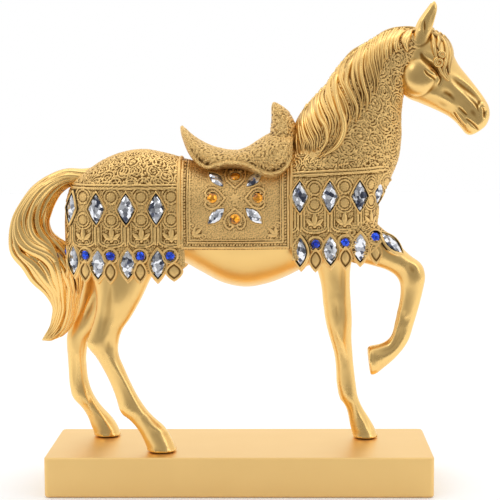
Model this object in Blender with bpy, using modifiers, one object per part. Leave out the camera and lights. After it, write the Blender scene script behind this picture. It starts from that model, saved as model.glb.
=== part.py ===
"""A gilded figurine of a caparisoned horse on its plinth, with flat-backed gems set in its harness.

The horse is one casting: body, mane, tail, saddle, saddle cloth and barding. It walks towards +X,
its right side faces -Y, and +Z is up. The origin is the middle of the plinth's underside.
The figure is drawn in units of a 279-unit-tall horse whose soles stand on the line z = 25, and
HORSE_HEIGHT sets its real size.
"""

import math

import bmesh
import bpy
import numpy as np
from mathutils import Matrix, Vector
from mathutils.bvhtree import BVHTree

# Sizes of the plinth, in metres
PLINTH_LENGTH = 0.241
PLINTH_DEPTH = 0.080
PLINTH_HEIGHT = 0.025
PLINTH_CORNER = 0.003
PLINTH_EDGE = 0.0008

# Sizes of the horse, in metres
HORSE_HEIGHT = 0.279
HOOF_GAP = 0.0003
CLOTH_THICKNESS = 0.0015

# Sizes of the gems and of the seats that hold them, in metres
LOZENGE_WIDTH = 0.0086
LOZENGE_LENGTH = 0.0172
MARQUISE_WIDTH = 0.0076
MARQUISE_LENGTH = 0.0164
ROUND_DIAMETER = 0.0058
AMBER_DIAMETER = 0.0062
LEAF_GEM_WIDTH = 0.0046
LEAF_GEM_LENGTH = 0.0088
GEM_SINK = 0.0009
GEM_GIRDLE = 0.0012
GEM_CROWN = 0.0011
GEM_TABLE = 0.5
MARQUISE_SHOULDER = (0.80, 0.25)
GEM_CLEARANCE = 0.0003
BEZEL_WALL = 0.0009
BEZEL_RISE = 0.0007
BEZEL_ROOT = 0.0026
GEM_LIFT = GEM_CLEARANCE - GEM_SINK

# How finely the casting is made
VOXEL = 0.0012
SOFTENING = 3
CASTING_TRIANGLES = 4900
RING_POINTS = 28
STRAND_POINTS = 10
LOFT_STEPS = 4
LOCK_STEPS = 12
BALL_RINGS = 8
CORD_STEPS = 16
ROUND_SIDES = 8
CORNER_STEPS = 5
TOUCHING = 1e-6

# How the gems are seated: how far outside the search for the casting starts, in metres, how much of
# a gem's size the four probes span, and how far a seat's cutter stands out of it
LOOK_FROM = 0.08
PROBE_WIDTH_SHARE = 0.4
PROBE_LENGTH_SHARE = 0.28
SEAT_CLEAR = 0.004

# The drawing that the figure is made from, in its own units
DRAWN_HEIGHT = 279.0
DRAWN_SOLE = 25.0

# Torso: x, back line, belly line, half width, squareness
TORSO = (
    (-108.5, 178, 152, 7, 2.4),
    (-106.5, 186, 147, 15, 2.4),
    (-102, 193, 145, 22, 2.5),
    (-95, 198.5, 144, 26.5, 2.5),
    (-85, 205, 143, 29, 2.5),
    (-72, 210, 143, 30, 2.4),
    (-60, 211.5, 145, 30, 2.4),
    (-48, 209.5, 145, 29.5, 2.4),
    (-36, 206.5, 142, 29.5, 2.3),
    (-24, 204, 135.5, 30.5, 2.2),
    (-10, 202.5, 129.3, 31, 2.2),
    (4, 203, 127, 31, 2.2),
    (18, 205.5, 130.3, 30, 2.2),
    (30, 211, 135, 29, 2.3),
    (42, 216, 140, 28, 2.4),
    (55, 216, 143, 27, 2.5),
    (68, 212, 146, 25.5, 2.5),
    (78, 206, 150, 22.5, 2.6),
    (84, 199, 156, 17, 2.6),
    (87.5, 190, 164, 9, 2.4),
)

# How square the limbs' sections are: 2 is an ellipse
LIMB_SQUARENESS = 2.2
# Limbs: front or upper edge x and z, rear or lower edge x and z, lateral centre, half width
NECK = (
    (89.5, 180, 26, 200, 0, 26),
    (95.5, 194, 31, 216, 0, 24),
    (99.8, 207, 39, 231, 0, 20.5),
    (101.5, 220, 49, 243.5, 0, 17.5),
    (101.5, 233, 59, 256.5, 0, 15),
    (102.5, 244, 69, 268, 0, 13),
    (105, 253, 80, 277, 0, 11.5),
    (111, 262, 93, 283.5, 0, 10.5),
    (119, 270, 107, 285.5, 0, 9),
)
HEAD = (
    (110, 286.5, 101.5, 264, 0, 8.5),
    (120, 287.3, 102, 251, 0, 10.8),
    (128.5, 283.3, 106, 246, 0, 12),
    (134, 274.5, 114.5, 242.5, 0, 12),
    (137.5, 265.5, 121.5, 239.8, 0, 10),
    (143.5, 257, 127.5, 237.2, 0, 8.4),
    (149, 249.5, 132.5, 234.7, 0, 7.4),
    (153, 243.8, 137, 230.8, 0, 7.2),
    (156, 238.5, 140.5, 226.5, 0, 7.6),
    (156.6, 233, 143, 223.2, 0, 6.9),
    (154.3, 227.8, 146, 222, 0, 4.8),
    (151, 225, 148.5, 223.2, 0, 1.5),
)
EAR = (
    (118.5, 282, 109, 279, -6.2, 3.2),
    (120.5, 287, 110.3, 286.5, -7, 3.6),
    (122, 293, 113.2, 293, -7.8, 3.2),
    (123.2, 298, 116.8, 298.3, -8, 2.4),
    (123.2, 301.5, 119.6, 302, -7.8, 1.5),
    (122.2, 304, 121, 304, -7.5, 0.5),
)
TAIL = (
    (-88, 202, -96, 187, 0, 7),
    (-97, 201, -101, 190, 0, 8),
    (-108, 200.8, -106.5, 189.5, 0, 9),
    (-118, 197, -111.5, 185.3, 0, 10),
    (-127.5, 190, -116, 179.5, 0, 11),
    (-135, 180.5, -118.8, 173.5, 0, 12),
    (-140.8, 170, -120, 167, 0, 12.5),
    (-145, 158, -118, 160, 0, 13),
    (-145.5, 148, -111, 154, 0, 13.5),
    (-140, 139, -103, 147, 0, 14),
    (-133, 130, -99, 137, 1, 13.5),
    (-124.5, 121.5, -99.5, 127, 2, 12),
    (-120, 113, -102, 118, 4, 10.5),
    (-120, 106, -105, 109, 6, 9),
    (-122.3, 100, -109, 101, 7, 7),
    (-125, 95.5, -115, 95.3, 6, 4),
    (-126.8, 92.6, -123.5, 92.2, 5, 1.2),
)
HIND_LEG_RIGHT = (
    (-40, 162, -100, 162, -17, 12.5),
    (-47, 146, -97, 146, -19, 11.5),
    (-54.5, 133.5, -90, 131.5, -20.5, 10),
    (-61, 121, -88.5, 119, -21.5, 8.6),
    (-68, 109.3, -90.3, 108, -21.5, 7.2),
    (-74.3, 100.3, -93.3, 99, -21.5, 6.6),
    (-76.2, 93, -95.2, 92.8, -21.5, 6.5),
    (-75, 86.5, -89.8, 86, -21.5, 6),
    (-71.5, 77.3, -84, 76, -21.5, 5.4),
    (-67.3, 67.5, -79.7, 66.5, -21.5, 5.2),
    (-63, 59, -76.6, 57.5, -21.5, 5.6),
    (-58.5, 52, -74.4, 50, -21.5, 6.4),
    (-53, 45.8, -68, 44, -21.5, 6),
    (-46.8, 40.2, -63.5, 38.5, -21.5, 6.6),
    (-43, 34, -60.5, 33, -21.5, 7.6),
    (-40, 27.5, -58, 27, -21.5, 8.6),
    (-39.2, 25, -57.5, 25, -21.5, 8.8),
)
HIND_LEG_LEFT = (
    (-50, 160, -101, 160, 17, 12.5),
    (-58, 141, -101, 141, 19, 11.5),
    (-69, 123, -103, 123, 20.5, 9.8),
    (-80, 109, -107, 108, 21, 8.4),
    (-90, 98, -111.8, 98, 21, 7.2),
    (-98.5, 89.5, -113.6, 90.5, 21, 6.6),
    (-101, 80, -113.2, 81, 21, 6.1),
    (-101, 70, -112.8, 70, 21, 5.6),
    (-99.6, 60, -112.3, 59, 21, 5.6),
    (-96.8, 52, -110.4, 50.5, 21, 6.3),
    (-91.5, 44, -104.5, 43.5, 21, 5.9),
    (-86, 38, -100.6, 37, 21, 6.3),
    (-82, 32.5, -98.5, 31, 21, 7.2),
    (-79.8, 27, -96.6, 26.7, 21, 8.2),
    (-79.3, 25, -96.4, 25, 21, 8.4),
)
FORELEG_LEFT = (
    (86, 170, 42, 168, 13, 11.5),
    (77, 152, 47, 152, 14.5, 10.5),
    (71, 138, 51.2, 138, 16, 8.6),
    (70.3, 125, 52.8, 125, 16, 7.5),
    (71, 112, 54.2, 112, 16, 6.9),
    (71.6, 101, 56, 100, 16, 6.7),
    (71.2, 91, 58.8, 90, 16, 6.2),
    (71.8, 81, 61.4, 80.5, 16, 5.4),
    (72.8, 71, 62.4, 70.5, 16, 5.2),
    (74.2, 61, 63, 60, 16, 5.5),
    (76.4, 51.5, 65, 51, 16, 6.2),
    (79.6, 43.5, 69.8, 43, 16, 5.7),
    (83.5, 37, 71.4, 36.5, 16, 6.2),
    (87, 30.5, 72.8, 30, 16, 7.4),
    (89, 26.5, 73.2, 26.5, 16, 8.2),
    (89.2, 25, 73.2, 25, 16, 8.4),
)
FORELEG_RIGHT = (
    (80, 178, 52, 152, -14.5, 11.5),
    (90, 165, 68, 145, -16, 10.5),
    (98.5, 154.7, 83, 142.5, -17.5, 9),
    (106.5, 146.6, 93.7, 139, -18.5, 7.7),
    (113, 141.2, 99.7, 134.7, -18.5, 7),
    (116.2, 134.5, 101.9, 129.5, -18.5, 6.7),
    (115, 127, 102, 124, -18.5, 6.1),
    (112.3, 115.5, 101, 114, -18.5, 5.5),
    (109, 104, 98.8, 105, -18.5, 5.2),
    (105.5, 93.8, 95.8, 97, -18.5, 5.5),
    (101, 86.8, 92.3, 93.4, -18.5, 5.6),
    (96, 81.5, 88.8, 92, -18.5, 6),
    (90, 76.5, 85.5, 91.3, -18.5, 6.9),
    (85, 73, 82.5, 90.5, -18.5, 8),
    (83, 72.5, 81.2, 90, -18.5, 8.2),
)
CANTLE = (
    (-8, 213, -12, 198, 0, 22.5),
    (-16, 215, -21, 200.5, 0, 22.5),
    (-22, 217.7, -27.5, 205.5, 0, 19.5),
    (-27, 220.8, -31.5, 211, 0, 15.5),
    (-31, 224, -34.3, 217.5, 0, 11),
    (-33.8, 226.8, -36, 223, 0, 6.5),
    (-35.3, 228.5, -36.6, 227, 0, 2),
)
SEAT = (
    (-16, 214.5, -16, 199, 0, 22),
    (-8, 213, -8, 200, 0, 22.5),
    (0, 212.6, 0, 200, 0, 23),
    (6, 214.6, 6, 198, 0, 24.5),
    (12, 218.4, 12, 194, 0, 27),
    (18, 222, 18, 191, 0, 29.5),
    (24, 224, 24, 191, 0, 30.5),
    (30, 224, 30, 195, 0, 29.5),
    (34, 222, 34, 202, 0, 26),
)
POMMEL = (
    (35, 208, 12, 208, 0, 24),
    (35.5, 216, 18, 216, 0, 21),
    (35.2, 223, 20, 222.5, 0, 18),
    (34.3, 229.5, 20.4, 229.5, 0, 14),
    (30.5, 235.5, 20.8, 235.5, 0, 9),
    (26, 239.4, 21, 239.4, 0, 5),
    (22.6, 241.9, 21.4, 241.9, 0, 1.5),
)

# Cloths: first and last x of the trunk that they cover, and the hem's height
RUMP_CLOTH = (-108.5, -35, 138)
CHEST_CLOTH = (33, 88, 145.8)
SADDLE_CLOTH = (-36, 33, 153)
# How far a cloth's sides lean in towards the hem, as a share of its width, and how fast they reach it
CLOTH_INWARD = 0.06
CLOTH_FALL = 1.6

# Cloth borders: x of each hoop, how thick it is and how far down it runs
CLOTH_HOOPS = ((-36, 1.5, 153), (33, 1.2, 153))

# Mane: the crest that the locks spring from, and where the near side's tips lie
CREST = ((38, 228), (51, 243), (62, 257), (73, 269), (84, 278.5), (95, 284.5), (108, 286.5))
TIPS = ((35, 205), (41, 203), (48, 203), (57, 203), (65, 213), (73, 223), (79, 237), (86, 252), (96, 268))
LOCKS_RIGHT = 15
LOCKS_LEFT = 10
LOCK_LEFT_REACH = 0.55
LOCK_HALF_WIDTH = 2.7
LOCK_LIFT = 0.4
LOCK_SWAY = 1.1
LOCK_WAVES = 1.1
LOCK_PHASE = 0.37
# A lock's knee, as shares of its root's x and z, and the part of its length in which it leaves the crest
LOCK_KNEE = (0.35, 0.75)
LOCK_LEAVES = 0.2
LOCK_THIN = 0.4
LOCK_FLATNESS = 0.8
CREST_HALF_WIDTH = (1.8, 2.2)
CREST_HALF_DEPTH = 2.4
OUTSIDE = 80.0
FORELOCK = ((104, 287), (112, 288), (121, 287.4), (128.4, 282.8), (132.4, 276), (134.6, 269))
# The forelock's half thickness at its ends, and what its middle adds to its height and width
FORELOCK_HALVES = (0.6, 1.6, 3.6)

# Balls of the head: x, y and z of the middle, then the three half widths, the same on both sides
HEAD_BALLS = (
    (112, 0, 257.5, 9.5, 12.6, 11.5),
    (119.8, 9.6, 260.5, 4.6, 3.2, 2.6),
    (122.5, 8.4, 268, 6.0, 3.6, 2.2),
    (152.3, 6.2, 238.6, 2.8, 2.4, 3.0),
)

# Tail: how many strands wind round its core, how far out they lie and how thick they are
TAIL_STRANDS = 6
TAIL_STRAND_SHARE = 0.76
TAIL_STRAND_HALF_WIDTH = 0.38
TAIL_TWIST = 0.012

# Rows of gems: the height of each row, and the gems' spacing along it
ROW_PITCH = 18.4
RUMP_LOZENGE = (-86.5, 177.8)
RUMP_MARQUISE = (-86.0, 144.0)
RUMP_ROUND = (-78.3, 148.8)
RUMP_TAB = (-76.8, 139.4)
CHEST_LOZENGE = (38.1, 184.8)
CHEST_MARQUISE = (38.6, 151.2)
CHEST_ROUND = (47.8, 155.6)
CHEST_TAB = (48.2, 146.2)
ROW_GEMS = 3
# How much faster than evenly the chest's rows rise towards the front, in units a gem squared
CHEST_MARQUISE_LIFT = 0.55
CHEST_ROUND_LIFT = 1.0
CHEST_TAB_LIFT = 0.8
ROSETTE = (-1.4, 184.2)
ROSETTE_REACH = (14.0, 12.6)
ROSETTE_LEAF_REACH = (11.6, 10.8)
# Gems round the corners, the same on both sides: name, kind, where and the way they face
CORNER_SITES = (
    ("crystal_rump_{}_rear", "lozenge", (-102.5, 21, 178), (-0.80, 0.60)),
    ("crystal_chest_{}_front", "lozenge", (88.5, 15, 187), (0.88, 0.47)),
    ("crystal_rump_hem_{}_rear", "marquise", (-100.9, 22, 146), (-0.62, 0.78)),
    ("blue_rump_{}_rear", "round", (-94.0, 27, 149.2), (-0.25, 0.97)),
)
# Gems that the other side lacks: name, kind, where, the way they face and their turn in radians
SINGLE_SITES = (
    ("blue_rump_right_last", "round", (-105.6, -13, 150.5), (-0.90, -0.43, 0), 0.0),
    ("crystal_chest_hem_leg", "marquise", (95, -24, 156), (0.35, -0.8, 0.45), -0.70),
)
TAB_WIDTH = 8.4
TAB_LENGTH = 13.5
TAB_THICKNESS = 2.8
TAB_RISE = 0.5

# Bands: x and z of the double cord that tops each cloth's jewelled row
RUMP_CORD = ((-98, 190.3), (-35, 190.3))
CHEST_CORD = ((33, 197.3), (84, 200.5))
CORD_RADIUS = 1.1

COLLAR_HEIGHT = 1.6
COLLAR_FLARE = 1.1

# Colours, roughness and metallic value of the finishes
GOLD = ((0.83, 0.60, 0.27, 1), 0.34, 1.0)
SATIN_GOLD = ((0.86, 0.62, 0.30, 1), 0.42, 1.0)
CRYSTAL = ((0.82, 0.85, 0.92, 1), 0.08, 0.6)
BLUE = ((0.02, 0.08, 0.75, 1), 0.08, 0.2)
AMBER = ((0.85, 0.36, 0.02, 1), 0.10, 0.2)


def unit():
    """Metres for one unit of the drawing."""
    return HORSE_HEIGHT / DRAWN_HEIGHT


def place(x, y, z):
    """The real place of a point of the drawing."""
    scale = unit()
    sole = PLINTH_HEIGHT + HOOF_GAP
    return Vector((x * scale, y * scale, sole + (z - DRAWN_SOLE) * scale))


def curve_through(rows, steps):
    """Rows of numbers on a smooth curve through the given rows, spaced by the distance between them."""
    rows = np.array(rows, float)
    gaps = np.maximum(np.linalg.norm(np.diff(rows, axis=0), axis=1), TOUCHING)
    slopes = np.diff(rows, axis=0) / gaps[:, None]
    inner = slopes[:-1] * gaps[1:, None] + slopes[1:] * gaps[:-1, None]
    inner = inner / (gaps[:-1] + gaps[1:])[:, None]
    tangents = np.vstack([slopes[:1], inner, slopes[-1:]])
    made = []
    for i, gap in enumerate(gaps):
        for t in np.arange(steps) / steps:
            made.append(
                (2 * t**3 - 3 * t**2 + 1) * rows[i]
                + (t**3 - 2 * t**2 + t) * gap * tangents[i]
                + (3 * t**2 - 2 * t**3) * rows[i + 1]
                + (t**3 - t**2) * gap * tangents[i + 1]
            )
    made.append(rows[-1])
    return np.array(made)


def rounded(angle, squareness):
    """Cosine and sine of a superellipse at an angle: 2 is an ellipse, more is squarer."""
    power = 2 / squareness
    c, s = math.cos(angle), math.sin(angle)
    return math.copysign(abs(c) ** power, c), math.copysign(abs(s) ** power, s)


def ring(row, squareness, points):
    """One cross-section in drawing units: from its front edge round to its rear edge and back."""
    xa, za, xb, zb, y, width = row[:6]
    made = []
    for i in range(points):
        c, s = rounded(2 * math.pi * i / points, squareness)
        along = (1 + c) / 2
        made.append((xb + (xa - xb) * along, y + width * s, zb + (za - zb) * along))
    return made


def skin(bm, rings):
    """Adds a closed skin over rings of equal count, flat at both ends."""
    rows = [[bm.verts.new(place(*p)) for p in points] for points in rings]
    count = len(rows[0])
    for lower, upper in zip(rows, rows[1:]):
        for i in range(count):
            j = (i + 1) % count
            bm.faces.new((lower[i], lower[j], upper[j], upper[i]))
    bm.faces.new(rows[0][::-1])
    bm.faces.new(rows[-1])


def add_limb(bm, rows, flip=False):
    """Adds a limb lofted through its cross-sections, mirrored to the other side if flip is set."""
    rings = []
    for row in curve_through(rows, LOFT_STEPS):
        row = list(row)
        if flip:
            row[4] = -row[4]
        rings.append(ring(row, LIMB_SQUARENESS, RING_POINTS))
    skin(bm, rings)


def torso_rows(steps):
    """The torso's cross-sections, as rows of x, back, belly, half width and squareness."""
    return curve_through(TORSO, steps)


def add_torso(bm):
    """Adds the bare trunk."""
    skin(
        bm,
        [
            ring((x, top, x, low, 0, width), square, RING_POINTS)
            for x, top, low, width, square in torso_rows(LOFT_STEPS)
        ],
    )


def draped_ring(x, top, low, width, square, hem, grow):
    """A cloth's cross-section: over the back, then down from the widest line to the hem."""
    middle = (top + low) / 2
    made = []
    for px, py, pz in ring((x, top + grow, x, low, 0, width + grow), square, RING_POINTS):
        if pz < middle:
            share = (middle - pz) / (middle - low)
            if abs(py) > TOUCHING:
                py = math.copysign((width + grow) * (1 - CLOTH_INWARD * share), py)
            pz = middle - (middle - hem) * min(1.0, CLOTH_FALL * share)
        made.append((px, py, pz))
    return made


def add_cloth(bm, cloth):
    """Adds a cloth that lies over the trunk and hangs to its hem."""
    first, last, hem = cloth
    grow = CLOTH_THICKNESS / unit()
    rows = [row for row in torso_rows(LOFT_STEPS) if first <= row[0] <= last]
    skin(bm, [draped_ring(*row, hem, grow) for row in rows])


def point_on(curve, share):
    """The point at a share of a smooth curve's rows, 0 at its start and 1 at its end."""
    at = share * (len(curve) - 1)
    low = min(int(at), len(curve) - 2)
    return curve[low] + (curve[low + 1] - curve[low]) * (at - low)


def add_strand(bm, points, halves, side):
    """Adds a tapering strand along points: halves holds each point's half width and half thickness.

    side is the direction, in drawing units, that the strand's thickness points in.
    """
    rings = []
    for i, point in enumerate(points):
        before = points[max(i - 1, 0)]
        after = points[min(i + 1, len(points) - 1)]
        tangent = (Vector(after) - Vector(before)).normalized()
        across = tangent.cross(Vector(side[i])).normalized()
        up = across.cross(tangent)
        wide, thick = halves[i]
        turns = [2 * math.pi * k / STRAND_POINTS for k in range(STRAND_POINTS)]
        rings.append(
            [
                tuple(Vector(point) + across * wide * math.cos(a) + up * thick * math.sin(a))
                for a in turns
            ]
        )
    skin(bm, rings)


def body_tree():
    """A search tree of the bare trunk, neck and head in drawing units, which the hair lies on."""
    points, faces = [], []
    parts = [
        [ring((x, top, x, low, 0, w), q, RING_POINTS) for x, top, low, w, q in torso_rows(LOFT_STEPS)],
        [ring(row, LIMB_SQUARENESS, RING_POINTS) for row in curve_through(NECK, LOFT_STEPS)],
    ]
    for rings in parts:
        base = len(points)
        points += [p for one in rings for p in one]
        for k in range(len(rings) - 1):
            for i in range(RING_POINTS):
                j = (i + 1) % RING_POINTS
                low, high = base + k * RING_POINTS, base + (k + 1) * RING_POINTS
                faces.append((low + i, low + j, high + j, high + i))
    return BVHTree.FromPolygons([Vector(p) for p in points], faces)


def add_mane(bm, tree, side, count, reach):
    """Adds a side's locks: each leaves the crest, follows it down and then falls to its tip.

    reach is the share of the way to the tips that the locks run.
    """
    crest, tips = curve_through(CREST, 6), curve_through(TIPS, 6)
    for i in range(count):
        share = (i + 0.5) / count
        root = point_on(crest, share)
        tip = root + (point_on(tips, share) - root) * reach
        knee = root * LOCK_KNEE + tip * (1 - np.array(LOCK_KNEE))
        points, halves, sides = [], [], []
        for k in range(LOCK_STEPS + 1):
            t = k / LOCK_STEPS
            x, z = root * (1 - t) ** 2 + knee * 2 * t * (1 - t) + tip * t**2
            x += LOCK_SWAY * t * math.sin(2 * math.pi * (LOCK_WAVES * t + LOCK_PHASE * i))
            hit = tree.ray_cast(Vector((x, side * OUTSIDE, z)), Vector((0, -side, 0)))[0]
            lies = CREST_HALF_WIDTH[0] if hit is None else abs(hit.y)
            settled = min(1.0, t / LOCK_LEAVES)
            out = CREST_HALF_WIDTH[0] * (1 - settled) + (lies + LOCK_LIFT) * settled
            wide = LOCK_THIN + (LOCK_HALF_WIDTH - LOCK_THIN) * math.sqrt(math.sin(math.pi * (0.3 + 0.7 * t)))
            points.append((x, side * out, z))
            halves.append((wide, wide * LOCK_FLATNESS))
            sides.append((0, side, 0))
        add_strand(bm, points, halves, sides)


def add_crest(bm):
    """Adds the roll of hair along the top of the neck, and the forelock over the brow."""
    crest = curve_through(CREST, 3)
    thin, swell = CREST_HALF_WIDTH
    swells = [math.sin(math.pi * k / (len(crest) - 1)) for k in range(len(crest))]
    halves = [(thin + swell * share, CREST_HALF_DEPTH) for share in swells]
    add_strand(bm, [(x, 0, z) for x, z in crest], halves, [(0, 1, 0)] * len(crest))
    brow = curve_through(FORELOCK, 3)
    swells = [math.sin(math.pi * k / (len(brow) - 1)) for k in range(len(brow))]
    thin, high, wide = FORELOCK_HALVES
    halves = [(thin + high * share, thin + wide * share) for share in swells]
    add_strand(bm, [(x, 0, z) for x, z in brow], halves, [(0, 1, 0)] * len(brow))


def add_balls(bm):
    """Adds the cheeks, brows, closed eyes and nostrils."""
    for x, y, z, *half in HEAD_BALLS:
        for side in (-1, 1) if y else (1,):
            rings = []
            for k in range(1, BALL_RINGS):
                turn = math.pi * k / BALL_RINGS
                level, wide = z + half[2] * math.cos(turn), math.sin(turn)
                row = (x + half[0] * wide, level, x - half[0] * wide, level, side * y, half[1] * wide)
                rings.append(ring(row, 2, RING_POINTS // 2))
            skin(bm, rings)


def add_hoops(bm):
    """Adds the rolled borders of the saddle cloth."""
    rows = torso_rows(LOFT_STEPS)
    for at, thick, hem in CLOTH_HOOPS:
        row = rows[np.argmin(abs(rows[:, 0] - at))]
        around = draped_ring(*row, hem, CLOTH_THICKNESS / unit())
        half = len(around) // 2 - 1
        points = [(at, y, z) for _, y, z in (around[i] for i in range(-half, half + 1)) if z > hem]
        middle = (row[1] + row[2]) / 2
        add_strand(bm, points, [(thick, thick)] * len(points), [(0, y, z - middle) for _, y, z in points])


def add_tail_strands(bm):
    """Adds the strands that wind down the tail."""
    rows = curve_through(TAIL, 2)
    for strand in range(TAIL_STRANDS):
        points, halves, sides = [], [], []
        for k, (xa, za, xb, zb, y, width) in enumerate(rows[2:-1]):
            angle = 2 * math.pi * (strand / TAIL_STRANDS + TAIL_TWIST * k)
            middle = Vector(((xa + xb) / 2, y, (za + zb) / 2))
            reach = Vector((xa - middle.x, 0, za - middle.z))
            out = reach * math.cos(angle) + Vector((0, width * math.sin(angle), 0))
            points.append(tuple(middle + out * TAIL_STRAND_SHARE))
            half = max(LOCK_THIN, TAIL_STRAND_HALF_WIDTH * min(out.length, width))
            halves.append((half, half))
            sides.append(out.normalized())
        add_strand(bm, points, halves, sides)


def add_collar(bm, leg):
    """Adds the thin rim round a hoof, where it stands on the plinth."""
    xa, _, xb, _, y, width = leg[-1]
    foot = (xa + COLLAR_FLARE, DRAWN_SOLE, xb - COLLAR_FLARE, DRAWN_SOLE, y, width + COLLAR_FLARE)
    top = (xa, DRAWN_SOLE + COLLAR_HEIGHT, xb, DRAWN_SOLE + COLLAR_HEIGHT, y, width)
    skin(bm, [ring(row, LIMB_SQUARENESS, RING_POINTS) for row in (top, foot)])


def cloth_tree():
    """A search tree of the cloths' outer faces in drawing units, which cords and tabs lie on."""
    bm = bmesh.new()
    for cloth in (RUMP_CLOTH, CHEST_CLOTH):
        add_cloth(bm, cloth)
    add_limb(bm, NECK)
    tree = BVHTree.FromBMesh(bm)
    bm.free()
    return tree


def add_cord(bm, tree, ends, side):
    """Adds one side of a cord that runs along a cloth from its first end to its last."""
    (xa, za), (xb, zb) = ends
    points = []
    for k in range(CORD_STEPS + 1):
        t = k / CORD_STEPS
        x, z = xa + (xb - xa) * t, za + (zb - za) * t
        hit = tree.ray_cast(place(x, side * OUTSIDE, z), Vector((0, -side, 0)))[0]
        if hit is not None:
            points.append((x, hit.y / unit(), z))
    halves = [(CORD_RADIUS, CORD_RADIUS)] * len(points)
    add_strand(bm, points, halves, [(0, side, 0)] * len(points))


def outline(kind, width, length):
    """A gem's outline, as corners in its own plane: x across and y along."""
    if kind == "lozenge":
        return [(width / 2, 0), (0, length / 2), (-width / 2, 0), (0, -length / 2)]
    if kind == "marquise":
        share, reach = MARQUISE_SHOULDER
        right = [(width / 2 * share, -length * reach), (width / 2, 0), (width / 2 * share, length * reach)]
        left = [(-x, -y) for x, y in right]
        return right + [(0, length / 2)] + left + [(0, -length / 2)]
    turns = [2 * math.pi * k / ROUND_SIDES for k in range(ROUND_SIDES)]
    return [(width / 2 * math.cos(a), length / 2 * math.sin(a)) for a in turns]


def prism(name, corners, levels, matrix, collection):
    """A solid whose outline is corners, grown and scaled at each level: (height, grown by, scale)."""
    bm = bmesh.new()
    rows = []
    for height, grow, scale in levels:
        row = []
        for x, y in corners:
            reach = math.hypot(x, y)
            out = 1 + grow / reach
            row.append(bm.verts.new(matrix @ Vector((x * out * scale, y * out * scale, height))))
        rows.append(row)
    count = len(corners)
    for lower, upper in zip(rows, rows[1:]):
        for i in range(count):
            j = (i + 1) % count
            bm.faces.new((lower[i], lower[j], upper[j], upper[i]))
    bm.faces.new(rows[0][::-1])
    bm.faces.new(rows[-1])
    return new_object(name, bm, collection)


def seat_matrix(tree, aim, look, spin, half_width, half_length):
    """The seat of a gem: where a look from outside towards aim meets the casting, facing out."""
    look = Vector(look).normalized()
    across = Vector((0, 0, 1)).cross(look).normalized()
    up = look.cross(across)
    along = up * math.cos(spin) + across * math.sin(spin)
    side = along.cross(look).normalized()
    target = place(*aim)

    def meet(offset):
        start = target + offset + look * LOOK_FROM
        hit = tree.ray_cast(start, -look)[0]
        return hit if hit is not None else target + offset

    middle = meet(Vector())
    top, bottom = meet(along * half_length), meet(-along * half_length)
    right, left = meet(side * half_width), meet(-side * half_width)
    long_way = (top - bottom).normalized()
    normal = (right - left).cross(long_way).normalized()
    if normal.dot(look) < 0:
        normal = -normal
    wide_way = long_way.cross(normal).normalized()
    turned = Matrix((wide_way, long_way, normal)).transposed().to_4x4()
    turned.translation = middle
    return turned


def row_sites(name, kind, first, look_y, lift=0.0):
    """Sites of a row of gems on one side, rising by lift times the square of a gem's place in it."""
    x, z = first
    return [
        (f"{name}_{k + 1}", kind, (x + ROW_PITCH * k, 0, z + lift * k * k), (0, look_y, 0), 0.0)
        for k in range(ROW_GEMS)
    ]


def gem_sites():
    """Every gem's name, kind, aim, look and spin."""
    sites = []
    for word, s in (("right", -1), ("left", 1)):
        sites += row_sites(f"crystal_rump_{word}", "lozenge", RUMP_LOZENGE, s)
        sites += row_sites(f"crystal_chest_{word}", "lozenge", CHEST_LOZENGE, s)
        sites += row_sites(f"crystal_rump_hem_{word}", "marquise", RUMP_MARQUISE, s)
        sites += row_sites(f"crystal_chest_hem_{word}", "marquise", CHEST_MARQUISE, s, CHEST_MARQUISE_LIFT)
        sites += row_sites(f"blue_rump_{word}", "round", RUMP_ROUND, s)
        sites += row_sites(f"blue_chest_{word}", "round", CHEST_ROUND, s, CHEST_ROUND_LIFT)
        for name, kind, (x, y, z), (look_x, look_y) in CORNER_SITES:
            sites.append((name.format(word), kind, (x, s * y, z), (look_x, s * look_y, 0), 0.0))
        x, z = ROSETTE
        wide, high = ROSETTE_REACH
        for spot, dx, dz in (("top", 0, high), ("rear", -wide, 0), ("front", wide, 0), ("bottom", 0, -high)):
            sites.append((f"amber_{word}_{spot}", "amber", (x + dx, 0, z + dz), (0, s, 0), 0.0))
    wide, high = ROSETTE_LEAF_REACH
    for n, (dx, dz) in enumerate(((-1, 1), (1, 1), (1, -1), (-1, -1))):
        aim = (ROSETTE[0] + dx * wide, 0, ROSETTE[1] + dz * high)
        sites.append((f"crystal_cloth_{n + 1}", "leaf", aim, (0, -1, 0), math.atan2(dx * wide, dz * high)))
    sites += SINGLE_SITES
    return sites


GEMS = {
    "lozenge": ("lozenge", LOZENGE_WIDTH, LOZENGE_LENGTH, CRYSTAL, True),
    "marquise": ("marquise", MARQUISE_WIDTH, MARQUISE_LENGTH, CRYSTAL, True),
    "round": ("round", ROUND_DIAMETER, ROUND_DIAMETER, BLUE, True),
    "amber": ("round", AMBER_DIAMETER, AMBER_DIAMETER, AMBER, False),
    "leaf": ("marquise", LEAF_GEM_WIDTH, LEAF_GEM_LENGTH, CRYSTAL, False),
}


def finish(name, look):
    """A plain material: base colour, roughness and metallic value."""
    colour, roughness, metallic = look
    made = bpy.data.materials.get(name) or bpy.data.materials.new(name)
    made.use_nodes = True
    shader = made.node_tree.nodes["Principled BSDF"]
    shader.inputs["Base Color"].default_value = colour
    shader.inputs["Roughness"].default_value = roughness
    shader.inputs["Metallic"].default_value = metallic
    return made


def new_object(name, bm, collection):
    """A mesh object made from a bmesh, shaded smooth, with its faces pointing out."""
    bmesh.ops.recalc_face_normals(bm, faces=bm.faces)
    mesh = bpy.data.meshes.new(name)
    bm.to_mesh(mesh)
    bm.free()
    made = bpy.data.objects.new(name, mesh)
    collection.objects.link(made)
    return made


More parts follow.
